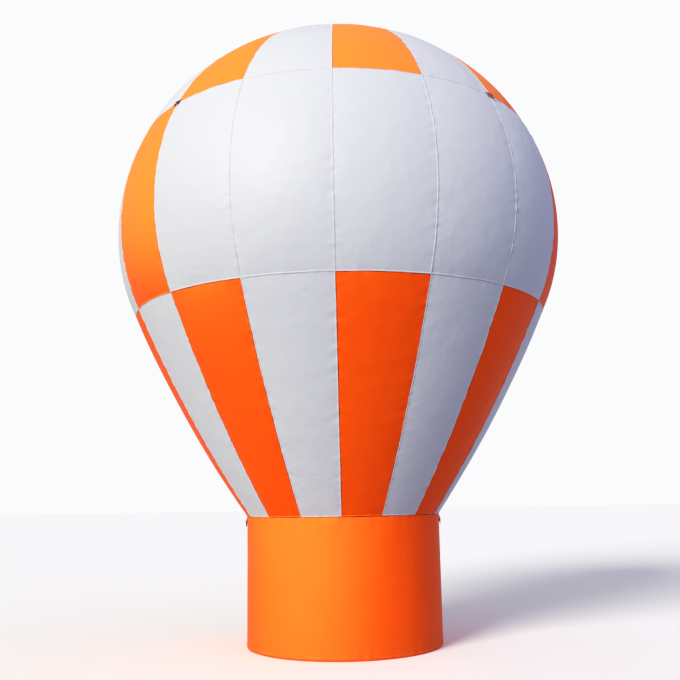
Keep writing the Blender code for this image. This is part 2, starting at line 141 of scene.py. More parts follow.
def clothHeight(tier, gore, across, up):
    # how far the cloth stands over the round surface
    share = up * usedShare[tier]
    radius = arcPoint(tier, share)[0]
    length = arcLength[tier] * usedShare[tier]
    toSide = min(across, 1 - across) * radius * goreAngle
    toEnd = min(up, 1 - up) * length
    boundary = (gore if across < 0.5 else gore + 1) % envelope["gores"]
    ring = ringNumber[tier] + (0 if up < 0.5 else 1)
    fade = 1 - exp(-toEnd / envelope["seamFade"])
    crest = max(0.0, 1 - (2 * across - 1) ** 2)
    lobe = envelope["lobe"] * crest * fade * radius / waist[0]
    heading = boundaryHeading(gore + across)
    along = share * arcLength[tier] + 7.0 * ringNumber[tier]
    reach = envelope["puckerReach"]
    lean = 0.5 * toSide
    sidePucker = noise.noise(Vector(((along + lean) * 15, boundary * 5.3, 0.0)))
    sidePucker += 0.55 * noise.noise(Vector(((along - lean) * 33, boundary * 3.1, 4.0)))
    endPucker = noise.noise(Vector((heading * radius * 15, ring * 6.7, 9.0)))
    endPucker += 0.55 * noise.noise(Vector((heading * radius * 22, ring * 2.9, 2.0)))
    pucker = sidePucker * exp(-toSide / reach) * (1 - exp(-toEnd / reach))
    pucker += endPucker * exp(-toEnd / (1.3 * reach)) * (1 - exp(-toSide / (0.5 * reach)))
    spot = around(radius, heading, along) * 1.1
    drift = envelope["drift"] * noise.noise(spot) * min(1.0, toSide / 0.1) * fade
    return lobe + envelope["pucker"] * pucker + drift


def goreAt(heading):
    # the gore at a heading, and the place across it
    place = heading / goreAngle + envelope["frontBoundary"]
    return floor(place) % envelope["gores"], place - floor(place)


def clothAt(tier, heading, up):
    gore, across = goreAt(heading)
    return clothHeight(tier, gore, across, up)


def deselectAll():
    bpy.ops.object.select_all(action="DESELECT")


def only(piece):
    deselectAll()
    piece.select_set(True)
    bpy.context.view_layer.objects.active = piece


def applyModifiers(piece):
    only(piece)
    for step in list(piece.modifiers):
        bpy.ops.object.modifier_apply(modifier=step.name)


def addGrid(name, columns, rows, place):
    # a grid primitive whose corners are moved to place(across, up), which also gives their cloth distances
    deselectAll()
    bpy.ops.mesh.primitive_grid_add(x_subdivisions=columns, y_subdivisions=rows, size=1)
    piece = bpy.context.object
    piece.name = name
    spots = [place(v.co.x + 0.5, v.co.y + 0.5) for v in piece.data.vertices]
    for corner, (point, cloth) in zip(piece.data.vertices, spots):
        corner.co = point
    weave = piece.data.uv_layers[0].data
    for loop in piece.data.loops:
        weave[loop.index].uv = spots[loop.vertex_index][1]
    piece.data.shade_smooth()
    return piece


def settle(piece):
    # leave the piece's object at the origin, with its place in its mesh
    only(piece)
    bpy.ops.object.transform_apply(location=True, rotation=True, scale=True)


def joinPieces(name, pieces):
    deselectAll()
    for piece in pieces:
        piece.select_set(True)
    bpy.context.view_layer.objects.active = pieces[0]
    bpy.ops.object.join()
    joined = bpy.context.object
    joined.name = name
    return joined


def smoothEdges(piece, angle):
    only(piece)
    bpy.ops.object.shade_smooth_by_angle(angle=radians(angle))


def bevelEdges(piece, width, segments=2, angle=35):
    edge = piece.modifiers.new("roundedEdges", "BEVEL")
    edge.width = width
    edge.segments = segments
    edge.limit_method = "ANGLE"
    edge.angle_limit = radians(angle)
    applyModifiers(piece)
    smoothEdges(piece, angle)


def placeOn(piece, body, material, slot, *nodes):
    piece.data.materials.clear()
    piece.data.materials.append(material)
    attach(piece, body)
    if nodes:
        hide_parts(*nodes)
    return piece


# Materials

def nodeAt(nodes, kind, **values):
    made = nodes.new(kind)
    for name, value in values.items():
        setattr(made, name, value)
    return made


def mathNode(nodes, links, operation, first, second=None):
    made = nodeAt(nodes, "ShaderNodeMath", operation=operation)
    for place, value in enumerate((first, second)):
        if value is None:
            continue
        if isinstance(value, (int, float)):
            made.inputs[place].default_value = value
        else:
            links.new(value, made.inputs[place])
    return made.outputs[0]


def newGroup(name, inputs, outputs):
    group = bpy.data.node_groups.new(name, "ShaderNodeTree")
    for title, value in inputs.items():
        socket = group.interface.new_socket(name=title, in_out="INPUT", socket_type="NodeSocketFloat")
        socket.default_value = value
    for title, kind in outputs.items():
        group.interface.new_socket(name=title, in_out="OUTPUT", socket_type=kind)
    start = nodeAt(group.nodes, "NodeGroupInput")
    end = nodeAt(group.nodes, "NodeGroupOutput")
    return group, start, end


def buildWeaveGroup():
    # fine plain weave with thicker threads at a regular spacing, in the cloth's own metres
    group, start, end = newGroup(
        "coatedWeave", {"Thread": 0.0009, "Ripstop": 0.0064},
        {"Height": "NodeSocketFloat", "Thick Thread": "NodeSocketFloat"},
    )
    nodes, links = group.nodes, group.links
    cloth = nodeAt(nodes, "ShaderNodeTexCoord")
    parts = nodeAt(nodes, "ShaderNodeSeparateXYZ")
    links.new(cloth.outputs["UV"], parts.inputs[0])
    waves = []
    lines = []
    for side in ("X", "Y"):
        turns = mathNode(nodes, links, "DIVIDE", parts.outputs[side], start.outputs["Thread"])
        waves.append(mathNode(nodes, links, "SINE", mathNode(nodes, links, "MULTIPLY", turns, 2 * pi)))
        steps = mathNode(nodes, links, "DIVIDE", parts.outputs[side], start.outputs["Ripstop"])
        back = mathNode(nodes, links, "PINGPONG", steps, 0.5)
        lines.append(mathNode(nodes, links, "LESS_THAN", back, 0.06))
    weave = mathNode(nodes, links, "MULTIPLY", waves[0], waves[1])
    thick = mathNode(nodes, links, "MAXIMUM", lines[0], lines[1])
    height = mathNode(nodes, links, "ADD", mathNode(nodes, links, "MULTIPLY", weave, 0.35), thick)
    links.new(height, end.inputs["Height"])
    links.new(thick, end.inputs["Thick Thread"])
    return group


def buildWearAndHighlightGroup():
    # small wrinkles, slow patches of fading, and a painted highlight, partly sun bleaching, on the side that faces
    # the key light, in the balloon's own metres
    group, start, end = newGroup(
        "clothWearAndHighlight", {"Wrinkle Scale": 24.0, "Dust Height": 0.25},
        {
            "Wrinkle": "NodeSocketFloat", "Patch": "NodeSocketFloat", "Dust": "NodeSocketFloat",
            "Ripple": "NodeSocketFloat", "Highlight And Bleach": "NodeSocketFloat",
        },
    )
    nodes, links = group.nodes, group.links
    spot = nodeAt(nodes, "ShaderNodeTexCoord")
    folds = nodeAt(nodes, "ShaderNodeTexNoise")
    folds.inputs["Detail"].default_value = 2.0
    folds.inputs["Distortion"].default_value = 0.8
    links.new(spot.outputs["Object"], folds.inputs["Vector"])
    links.new(start.outputs["Wrinkle Scale"], folds.inputs["Scale"])
    places = nodeAt(nodes, "ShaderNodeTexNoise")
    places.inputs["Scale"].default_value = 2.6
    links.new(spot.outputs["Object"], places.inputs["Vector"])
    here = nodeAt(nodes, "ShaderNodeMapRange", interpolation_type="SMOOTHSTEP")
    here.inputs["From Min"].default_value = 0.50
    here.inputs["From Max"].default_value = 0.66
    links.new(places.outputs[0], here.inputs["Value"])
    links.new(mathNode(nodes, links, "MULTIPLY", folds.outputs[0], here.outputs[0]), end.inputs["Wrinkle"])
    parts = nodeAt(nodes, "ShaderNodeSeparateXYZ")
    links.new(spot.outputs["Object"], parts.inputs[0])
    # painted highlight, partly sun bleaching: lighter where the cloth faces the key light and where it lies far out
    # to the left and up
    facing = nodeAt(nodes, "ShaderNodeVectorMath", operation="DOT_PRODUCT")
    facing.inputs[1].default_value = keyLitSide
    links.new(spot.outputs["Normal"], facing.inputs[0])
    litReachDot = nodeAt(nodes, "ShaderNodeVectorMath", operation="DOT_PRODUCT")
    litReachDot.inputs[1].default_value = keyLitReach
    links.new(spot.outputs["Object"], litReachDot.inputs[0])
    sunlit = mathNode(nodes, links, "ADD", facing.outputs["Value"], litReachDot.outputs["Value"])
    highlightAndBleach = nodeAt(nodes, "ShaderNodeMapRange", interpolation_type="SMOOTHSTEP")
    highlightAndBleach.inputs["From Min"].default_value = 0.44
    highlightAndBleach.inputs["From Max"].default_value = 1.05
    links.new(sunlit, highlightAndBleach.inputs["Value"])
    links.new(highlightAndBleach.outputs[0], end.inputs["Highlight And Bleach"])
    patch = nodeAt(nodes, "ShaderNodeTexNoise")
    patch.inputs["Scale"].default_value = 0.9
    patch.inputs["Detail"].default_value = 4.0
    links.new(spot.outputs["Object"], patch.inputs["Vector"])
    links.new(patch.outputs[0], end.inputs["Patch"])
    ripple = nodeAt(nodes, "ShaderNodeTexNoise")
    ripple.inputs["Scale"].default_value = 6.0
    ripple.inputs["Detail"].default_value = 3.0
    ripple.inputs["Roughness"].default_value = 0.4
    links.new(spot.outputs["Object"], ripple.inputs["Vector"])
    links.new(ripple.outputs[0], end.inputs["Ripple"])
    low = nodeAt(nodes, "ShaderNodeMapRange")
    low.inputs["To Min"].default_value = 1.0
    low.inputs["To Max"].default_value = 0.0
    links.new(parts.outputs["Z"], low.inputs["Value"])
    links.new(start.outputs["Dust Height"], low.inputs["From Max"])
    speck = nodeAt(nodes, "ShaderNodeTexNoise")
    speck.inputs["Scale"].default_value = 14.0
    speck.inputs["Detail"].default_value = 6.0
    links.new(spot.outputs["Object"], speck.inputs["Vector"])
    links.new(mathNode(nodes, links, "MULTIPLY", low.outputs[0], speck.outputs[0]), end.inputs["Dust"])
    return group


keyLitSide = (-0.25, -0.67, 0.70)  # painted highlight, partly sun bleaching: the cloth that faces this way, towards the key light, is painted lightest
keyLitReach = (-0.07, 0.0, 0.08)  # and so is the cloth that is far out this way, per metre
weaveGroup = buildWeaveGroup()
wearAndHighlightGroup = buildWearAndHighlightGroup()


def newMaterial(name, **sockets):
    material = bpy.data.materials.new(name)
    material.use_nodes = True
    shader = material.node_tree.nodes["Principled BSDF"]
    for title, value in sockets.items():
        shader.inputs[title.replace("_", " ")].default_value = value
    return material, material.node_tree.nodes, material.node_tree.links, shader


def mixColour(nodes, links, factor, first, second):
    mix = nodeAt(nodes, "ShaderNodeMix", data_type="RGBA")
    for socket, value in ((mix.inputs[6], first), (mix.inputs[7], second)):
        if isinstance(value, tuple):
            socket.default_value = (*value, 1.0)
        else:
            links.new(value, socket)
    links.new(factor, mix.inputs["Factor"])
    return mix.outputs[2]


# each cloth's lightest colour is a painted highlight, partly sun bleaching, where it faces the key light
cloths = {
    "orange": {
        "fresh": (0.95, 0.100, 0.008), "faded": (0.97, 0.118, 0.011), "dust": (0.52, 0.15, 0.05),
        # in both cloths the fold and edge colours are painted highlight on a seam's turned fold, and the crease
        # colour is painted shadow beside it
        "litAndBleached": (0.97, 0.240, 0.040), "fold": (0.95, 0.13, 0.012), "edge": (0.95, 0.13, 0.012),
        "creaseShadow": (0.17, 0.018, 0.006), "thread": (0.95, 0.30, 0.10), "gloss": 0.16,
        "tint": (1.0, 0.70, 0.22), "sheen": 0.0, "slot": "orange_fabric",
    },
    "white": {
        "fresh": (0.524, 0.531, 0.543), "faded": (0.554, 0.560, 0.564), "dust": (0.39, 0.37, 0.34),
        "litAndBleached": (0.540, 0.547, 0.551), "fold": (0.580, 0.584, 0.592), "edge": (0.72, 0.655, 0.63),
        "creaseShadow": (0.37, 0.365, 0.385), "thread": (0.64, 0.64, 0.66), "gloss": 0.25,
        "tint": (1.0, 1.0, 1.0), "sheen": 0.05, "slot": "white_fabric",
    },
}


# patches of fading, then the painted highlight, partly sun bleaching, where the cloth faces the key light
def agedAndLitCloth(nodes, links, wearAndHighlight, look):
    patched = mixColour(nodes, links, wearAndHighlight.outputs["Patch"], look["fresh"], look["faded"])
    return mixColour(nodes, links, wearAndHighlight.outputs["Highlight And Bleach"], patched, look["litAndBleached"])


def clothMaterial(colour):
    look = cloths[colour]
    material, nodes, links, shader = newMaterial(
        colour + "Cloth", Roughness=0.50, Sheen_Weight=look["sheen"], Sheen_Roughness=0.5,
        Specular_IOR_Level=look["gloss"], Specular_Tint=(*look["tint"], 1.0),
    )
    weave = nodeAt(nodes, "ShaderNodeGroup", node_tree=weaveGroup)
    wearAndHighlight = nodeAt(nodes, "ShaderNodeGroup", node_tree=wearAndHighlightGroup)
    agedAndLit = agedAndLitCloth(nodes, links, wearAndHighlight, look)
    dusty = mixColour(
        nodes, links, mathNode(nodes, links, "MULTIPLY", wearAndHighlight.outputs["Dust"], 0.25), agedAndLit, look["dust"],
    )
    links.new(dusty, shader.inputs["Base Color"])
    fine = nodeAt(nodes, "ShaderNodeBump")
    fine.inputs["Strength"].default_value = 0.25
    fine.inputs["Distance"].default_value = 0.0003
    links.new(weave.outputs["Height"], fine.inputs["Height"])
    folds = nodeAt(nodes, "ShaderNodeBump")
    folds.inputs["Strength"].default_value = 0.45
    folds.inputs["Distance"].default_value = 0.004
    links.new(wearAndHighlight.outputs["Wrinkle"], folds.inputs["Height"])
    links.new(fine.outputs[0], folds.inputs["Normal"])
    ripples = nodeAt(nodes, "ShaderNodeBump")
    ripples.inputs["Strength"].default_value = 0.45
    ripples.inputs["Distance"].default_value = 0.014
    links.new(wearAndHighlight.outputs["Ripple"], ripples.inputs["Height"])
    links.new(folds.outputs[0], ripples.inputs["Normal"])
    links.new(ripples.outputs[0], shader.inputs["Normal"])
    return material


def seamMaterial(fold, under):
    # a stitched fold of one cloth, painted lighter on the fold as a highlight, with a painted shadow in its crease
    # that fades into the cloth beside it, in the strip's own metres
    material, nodes, links, shader = newMaterial(
        fold + "On" + under.capitalize() + "Seam", Roughness=0.5,
        Sheen_Weight=cloths[fold]["sheen"], Specular_IOR_Level=cloths[fold]["gloss"],
    )
    wearAndHighlight = nodeAt(nodes, "ShaderNodeGroup", node_tree=wearAndHighlightGroup)
    cloth = nodeAt(nodes, "ShaderNodeTexCoord")
    parts = nodeAt(nodes, "ShaderNodeSeparateXYZ")
    links.new(cloth.outputs["UV"], parts.inputs[0])
    foldMiddle = (seam["foldStart"] + seam["foldEnd"]) / 2
    fromMiddle = mathNode(nodes, links, "SUBTRACT", parts.outputs["X"], seam["width"] * foldMiddle)
    fromRow = mathNode(nodes, links, "ABSOLUTE", mathNode(
        nodes, links, "SUBTRACT", mathNode(nodes, links, "ABSOLUTE", fromMiddle), seam["width"] * 0.10,
    ))
    inRow = mathNode(nodes, links, "LESS_THAN", fromRow, 0.0005)
    step = mathNode(nodes, links, "FRACT", mathNode(nodes, links, "DIVIDE", parts.outputs["Y"], 0.0045))
    stitch = mathNode(nodes, links, "MULTIPLY", inRow, mathNode(nodes, links, "LESS_THAN", step, 0.7))
    # the fold's painted highlight and the crease's painted shadow show more in some stretches than in others
    stretch = nodeAt(nodes, "ShaderNodeTexNoise")
    stretch.inputs["Scale"].default_value = 5.0
    links.new(cloth.outputs["Object"], stretch.inputs["Vector"])
    shows = nodeAt(nodes, "ShaderNodeMapRange")
    shows.inputs["From Min"].default_value = 0.38
    shows.inputs["From Max"].default_value = 0.62
    links.new(stretch.outputs[0], shows.inputs["Value"])
    # the fold is painted lighter than the cloth it is made of: a painted highlight
    foldHighlight = cloths[fold]["fold" if fold == under else "edge"]
    foldCloth = agedAndLitCloth(nodes, links, wearAndHighlight, cloths[fold])
    underCloth = agedAndLitCloth(nodes, links, wearAndHighlight, cloths[under])
    onFold = mathNode(nodes, links, "GREATER_THAN", parts.outputs["X"], seam["width"] * seam["foldStart"])
    bright = mathNode(nodes, links, "MULTIPLY", onFold, shows.outputs[0])
    plain = mixColour(nodes, links, bright, foldCloth, foldHighlight)
    sewn = mixColour(nodes, links, stitch, plain, cloths[fold]["thread"])
    # painted shadow in the crease beside the fold, fading out into the cloth beside it
    shadowFading = nodeAt(nodes, "ShaderNodeMapRange", interpolation_type="SMOOTHSTEP")
    shadowFading.inputs["From Min"].default_value = seam["width"] * seam["creaseShadowFade"]
    shadowFading.inputs["From Max"].default_value = seam["width"] * seam["creaseShadowEnd"]
    links.new(parts.outputs["X"], shadowFading.inputs["Value"])
    depth = nodeAt(nodes, "ShaderNodeMapRange")
    depth.inputs["To Min"].default_value = 0.25
    links.new(shows.outputs[0], depth.inputs["Value"])
    creaseShadow = mixColour(nodes, links, depth.outputs[0], underCloth, cloths[under]["creaseShadow"])
    beside = mixColour(nodes, links, shadowFading.outputs[0], creaseShadow, underCloth)
    past = mathNode(nodes, links, "GREATER_THAN", parts.outputs["X"], seam["width"] * seam["foldEnd"])
    links.new(mixColour(nodes, links, past, sewn, beside), shader.inputs["Base Color"])
    bump = nodeAt(nodes, "ShaderNodeBump")
    bump.inputs["Strength"].default_value = 0.4
    bump.inputs["Distance"].default_value = 0.0006
    links.new(stitch, bump.inputs["Height"])
    links.new(bump.outputs[0], shader.inputs["Normal"])
    return material


def webbingMaterial(name, light, dark):
    material, nodes, links, shader = newMaterial(name, Roughness=0.8, Sheen_Weight=0.25)
    spot = nodeAt(nodes, "ShaderNodeTexCoord")
    ribs = nodeAt(nodes, "ShaderNodeTexWave", bands_direction="DIAGONAL")
    ribs.inputs["Scale"].default_value = 160.0
    ribs.inputs["Distortion"].default_value = 1.5
    links.new(spot.outputs["Object"], ribs.inputs["Vector"])
    links.new(mixColour(nodes, links, ribs.outputs["Fac"], dark, light), shader.inputs["Base Color"])
    bump = nodeAt(nodes, "ShaderNodeBump")
    bump.inputs["Strength"].default_value = 0.5
    bump.inputs["Distance"].default_value = 0.0005
    links.new(ribs.outputs["Fac"], bump.inputs["Height"])
    links.new(bump.outputs[0], shader.inputs["Normal"])
    return material


def hardMaterial(name, fresh, worn, roughness, metallic, grain=60.0):
    # moulded plastic, paint or plated steel: fine grain, with slow patches of wear
    material, nodes, links, shader = newMaterial(name, Metallic=metallic)
    spot = nodeAt(nodes, "ShaderNodeTexCoord")
    patch = nodeAt(nodes, "ShaderNodeTexNoise")
    patch.inputs["Scale"].default_value = 9.0
    patch.inputs["Detail"].default_value = 5.0
    links.new(spot.outputs["Object"], patch.inputs["Vector"])
    links.new(mixColour(nodes, links, patch.outputs[0], fresh, worn), shader.inputs["Base Color"])
    shine = nodeAt(nodes, "ShaderNodeMapRange")
    shine.inputs["To Min"].default_value = roughness - 0.08
    shine.inputs["To Max"].default_value = roughness + 0.10
    links.new(patch.outputs[0], shine.inputs["Value"])
    links.new(shine.outputs[0], shader.inputs["Roughness"])
    fine = nodeAt(nodes, "ShaderNodeTexNoise")
    fine.inputs["Scale"].default_value = grain * 10
    links.new(spot.outputs["Object"], fine.inputs["Vector"])
    bump = nodeAt(nodes, "ShaderNodeBump")
    bump.inputs["Strength"].default_value = 0.12
    bump.inputs["Distance"].default_value = 0.0004
    links.new(fine.outputs[0], bump.inputs["Height"])
    links.new(bump.outputs[0], shader.inputs["Normal"])
    return material


seam = {
    "width": 0.020,
    "foldStart": -0.28,  # these four are shares of the width, from its middle
    "foldEnd": 0.05,
    "creaseShadowFade": 0.26,
    "creaseShadowEnd": 0.50,
    "height": 0.0018,
    "lower": 0.0010,  # how far the cloth beside the fold lies over the panels
    "tuck": 0.0008,  # how far both edges of a strip go in under the panels' surface
    "wander": 0.0025,
}
clothOf = {colour: clothMaterial(colour) for colour in cloths}
seamOf = {(fold, under): seamMaterial(fold, under) for fold in cloths for under in cloths}
darkWebbing = webbingMaterial("darkWebbing", (0.16, 0.030, 0.015), (0.06, 0.012, 0.008))
orangeTape = webbingMaterial("orangeTape", (0.86, 0.105, 0.008), (0.66, 0.070, 0.006))
platedSteel = hardMaterial("platedSteel", (0.62, 0.62, 0.63), (0.45, 0.45, 0.47), 0.32, 1.0)
dullSteel = hardMaterial("dullSteel", (0.34, 0.26, 0.22), (0.20, 0.12, 0.09), 0.48, 1.0)
greyPlastic = hardMaterial("greyPlastic", (0.17, 0.175, 0.18), (0.22, 0.225, 0.23), 0.48, 0.0)
blackPaint = hardMaterial("blackPaint", (0.020, 0.020, 0.022), (0.035, 0.035, 0.038), 0.42, 0.0)
zipNylon = hardMaterial("zipNylon", (0.05, 0.05, 0.055), (0.08, 0.08, 0.085), 0.5, 0.0)
print("materials made")


# Envelope

def crowd(across):
    # more faces near a gore's seams than in its middle
    return 0.45 * across + 0.55 * (0.5 - 0.5 * cos(pi * across))


def clothPanel(name, tier, first, count, colour):
    middleWidth = goreAngle * waist[0]

    def place(across, up):
        step = min(int(across * count + 1e-6), count - 1)
        inGore = crowd(across * count - step)
        radius, level, outR, outZ = arcPoint(tier, up * usedShare[tier])
        heading = boundaryHeading(first + step + inGore)
        height = clothHeight(tier, first + step, min(max(inGore, 0.0), 1.0), up)
        point = around(radius + outR * height, heading, level + outZ * height)
        cloth = ((step + inGore - 0.5 * count) * middleWidth, up * usedShare[tier] * arcLength[tier])
        return point, cloth

    rows = envelope["rows"][tier]
    panel = addGrid(name + "_cloth", envelope["columns"] * count, rows, place)
    placeOn(panel, "balloon", clothOf[colour], cloths[colour]["slot"], name)
    widths = [arcPoint(tier, usedShare[tier] * i / 60)[0] * goreAngle * count for i in range(61)]
    return panel


upperPanels = [
    # node, first gore, gores, cloth
    ("upper_panel_00", 0, 1, "orange"), ("banner_front", 1, 5, "white"),
    ("upper_panel_06", 6, 1, "orange"), ("upper_panel_07", 7, 1, "white"),
    ("upper_panel_08", 8, 1, "orange"), ("banner_back", 9, 5, "white"),
    ("upper_panel_14", 14, 1, "orange"), ("upper_panel_15", 15, 1, "white"),
]


def goreColour(tier, gore):
    # what cloth a gore has in a tier
    gore = gore % envelope["gores"]
    if tier != "upper":
        return "orange" if gore % 2 else "white"
    return next(
        colour for node, first, count, colour in upperPanels if first <= gore < first + count
    )


def buildEnvelope():
    for gore in range(envelope["gores"]):
        for tier in ("lower", "crown"):
            clothPanel(f"{tier}_panel_{gore:02d}", tier, gore, 1, goreColour(tier, gore))
    for node, first, count, colour in upperPanels:
        clothPanel(node, "upper", first, count, colour)


buildEnvelope()
print("envelope cloth made")


# Base

base = {
    "bottom": 0.002,
    "rearSeam": radians(150),
    "cell": 0.012,  # size of a face of the wall's cloth
    "slowWave": 0.0030,
    "neckPull": 0.0035,
    "floorPinch": 0.0050,
    "floorTuck": 0.005,
    "hemWidth": 0.034,
    "hemLift": 0.0014,
    "hemBottom": 0.002,  # from the walls' lower edge
}
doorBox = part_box("access_door")
doorJoint = next(j for j in frame["joints"] if j["name"] == "door_hinge")
hingePoint = Vector(doorJoint["pos_m"])
hingeHeading = atan2(hingePoint.x, -hingePoint.y)
door = {
    "low": doorBox[0].z,
    "high": doorBox[1].z,
    "start": hingeHeading + 0.003 / baseRadius,
    "end": hingeHeading + 0.600 / baseRadius,
    "gap": 0.006,  # between the leaf and the wall
    "hingeGap": 0.0043,
    "tape": 0.026,
    "zipTape": 0.013,
    "tapeCrown": 0.0006,
    "toothPitch": 0.0080,
    "leafTape": (0.0070, 0.0062),  # heights of the zip tape and the binding on the leaf
    "wallTape": (0.0012, 0.0010),
}
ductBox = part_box("fan_duct")
fanPlace = {
    "heading": pi,
    "height": (ductBox[0].z + ductBox[1].z) / 2,
    "ductRadius": 0.180,
    "glandHeight": (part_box("cable_gland")[0].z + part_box("cable_gland")[1].z) / 2,
    "glandRadius": 0.0123,
}


def wallHeight(heading, level):
    # slow waves, pulls below the neck seam and a tuck with small folds at the floor
    wave = base["slowWave"] * noise.noise(Vector((heading * 2.4, level * 1.7, 30.0)))
    toNeck = neck[1] - level
    pull = noise.noise(Vector((heading * 13, level * 2.2, 40.0))) * exp(-toNeck / 0.11)
    pinch = noise.noise(Vector((heading * 15, level * 3.0, 50.0))) * exp(-level / 0.07)
    free = 1 - exp(-toNeck / 0.04)
    sewn = clothAt("lower", heading, 0.0) * (1 - free)  # the walls' upper edge is sewn to the gores
    loose = wave + base["floorPinch"] * pinch + base["neckPull"] * pull
    return loose * free + sewn - base["floorTuck"] * exp(-level / 0.010)


def wallPoint(heading, level, lift=0.0):
    return around(baseRadius - 0.0005 + wallHeight(heading, level) + lift, heading, level)


def spread(stops, size):
    # places from the first stop to the last, with a line on every stop
    lines = [stops[0]]
    for low, high in zip(stops, stops[1:]):
        steps = max(1, round((high - low) / size))
        lines += [low + (high - low) * (i + 1) / steps for i in range(steps)]
    return lines


def wallCloth(name, headings, levels, node):
    columns = spread(headings, base["cell"] / baseRadius)
    rows = spread(levels, base["cell"])

    def place(across, up):
        heading = columns[round(across * (len(columns) - 1))]
        level = rows[round(up * (len(rows) - 1))]
        return wallPoint(heading, level), (heading * baseRadius, level)

    wall = addGrid(name, len(columns) - 1, len(rows) - 1, place)
    placeOn(wall, "balloon", clothOf["orange"], "orange_fabric", node)
    return wall


def deleteFaces(piece, inside):
    only(piece)
    bpy.ops.object.mode_set(mode="EDIT")
    bpy.ops.mesh.select_mode(type="FACE")
    bpy.ops.mesh.select_all(action="DESELECT")
    bpy.ops.object.mode_set(mode="OBJECT")
    for face in piece.data.polygons:
        face.select = inside(face.center)
    bpy.ops.object.mode_set(mode="EDIT")
    bpy.ops.mesh.delete(type="FACE")
    bpy.ops.mesh.select_mode(type="VERT")
    bpy.ops.object.mode_set(mode="OBJECT")


def roundHole(wall, heading, level, radius, margin):
    # cut a round hole and draw its edge in to the circle
    def fromCentre(point):
        across = (atan2(point.x, -point.y) % (2 * pi) - heading) * baseRadius
        return Vector((across, point.z - level))

    deleteFaces(wall, lambda point: fromCentre(point).length < radius * margin)
    use = {}
    for edge in (key for face in wall.data.polygons for key in face.edge_keys):
        use[edge] = use.get(edge, 0) + 1
    for edge in (key for key, count in use.items() if count == 1):
        for index in edge:
            corner = wall.data.vertices[index]
            offset = fromCentre(corner.co)
            if offset.length > radius * 2.2:
                continue
            offset = offset.normalized() * radius
            corner.co = wallPoint(heading + offset.x / baseRadius, level + offset.y)


def lapHeight(side):
    # a fold that rises softly on one side and drops to the cloth beside it, with both edges tucked in
    rise = min(1.0, (side + 0.5) / 0.25)
    fall = min(1.0, max(0.0, (side - seam["foldEnd"] + 0.05) / 0.10))
    tucked = max(0.0, (abs(side) - 0.4) / 0.1)
    fold = seam["height"] * rise * rise * (3 - 2 * rise) * (1 - fall)
    return fold + seam["lower"] * (1 - tucked) - seam["tuck"] * tucked


def wallStrip(name, start, end, width, lift, columns=4):
    # a strip on the wall between two (heading, level) points, which lift(side) raises
    along = Vector(((end[0] - start[0]) * baseRadius, end[1] - start[1]))
    length = along.length
    sideways = Vector((-along.y, along.x)) / length

    def place(across, up):
        spot = along * across + sideways * (up - 0.5) * width
        heading = start[0] + spot.x / baseRadius
        return wallPoint(heading, start[1] + spot.y, lift(up - 0.5)), ((up - 0.5) * width, across * length)

    return addGrid(name, ceil(length / base["cell"]), columns, place)


def buildWalls():
    side = pi / 2
    bottom = base["bottom"]
    top = neck[1]
    front = wallCloth("base_wall_front_cloth", (-side, side), (bottom, top), "base_wall_front")

    doorLow = door["low"] - door["gap"]
    doorHigh = door["high"] + door["gap"]
    doorStart = hingeHeading - door["hingeGap"] / baseRadius
    doorEnd = door["end"] + door["gap"] / baseRadius
    doorSide = wallCloth(
        "base_wall_door_side_cloth", (side, doorStart, doorEnd, base["rearSeam"]),
        (bottom, doorLow, doorHigh, top), "base_wall_door_side",
    )
    deleteFaces(
        doorSide,
        lambda point: doorLow < point.z < doorHigh
        and doorStart < atan2(point.x, -point.y) % (2 * pi) < doorEnd,
    )

    fanSide = wallCloth(
        "base_wall_fan_side_cloth", (base["rearSeam"], fanPlace["heading"], 3 * side),
        (bottom, fanPlace["glandHeight"], fanPlace["height"], top), "base_wall_fan_side",
    )
    roundHole(fanSide, fanPlace["heading"], fanPlace["height"], fanPlace["ductRadius"] + 0.0008, 1.03)
    roundHole(fanSide, fanPlace["heading"], fanPlace["glandHeight"], fanPlace["glandRadius"], 1.0)
    for number, heading in enumerate((-side, side, base["rearSeam"])):
        strip = wallStrip(
            f"wall_seam_{number}", (heading, bottom), (heading, top - 0.006), seam["width"], lapHeight, 10,
        )
        placeOn(strip, "balloon", seamOf["orange", "orange"], "orange_fabric")

    def placeHem(across, up):
        heading = 2 * pi * across
        level = bottom + base["hemBottom"] + base["hemWidth"] * up
        lift = base["hemLift"] * min(1.0, up * 8, (1 - up) * 8) - seam["tuck"] / 2
        point = wallPoint(heading if heading < 1.5 * pi else heading - 2 * pi, level, lift)
        edge = seam["width"] * (seam["foldEnd"] + 0.15)  # the crease, with its painted shadow, is at the hem's upper edge
        return point, ((up - 1) * base["hemWidth"] + edge, heading * baseRadius)

    hem = addGrid("base_hem", 480, 8, placeHem)
    only(hem)
    bpy.ops.object.mode_set(mode="EDIT")
    bpy.ops.mesh.select_all(action="SELECT")
    bpy.ops.mesh.remove_doubles(threshold=0.0001)
    bpy.ops.object.mode_set(mode="OBJECT")
    placeOn(hem, "balloon", seamOf["orange", "orange"], "orange_fabric")


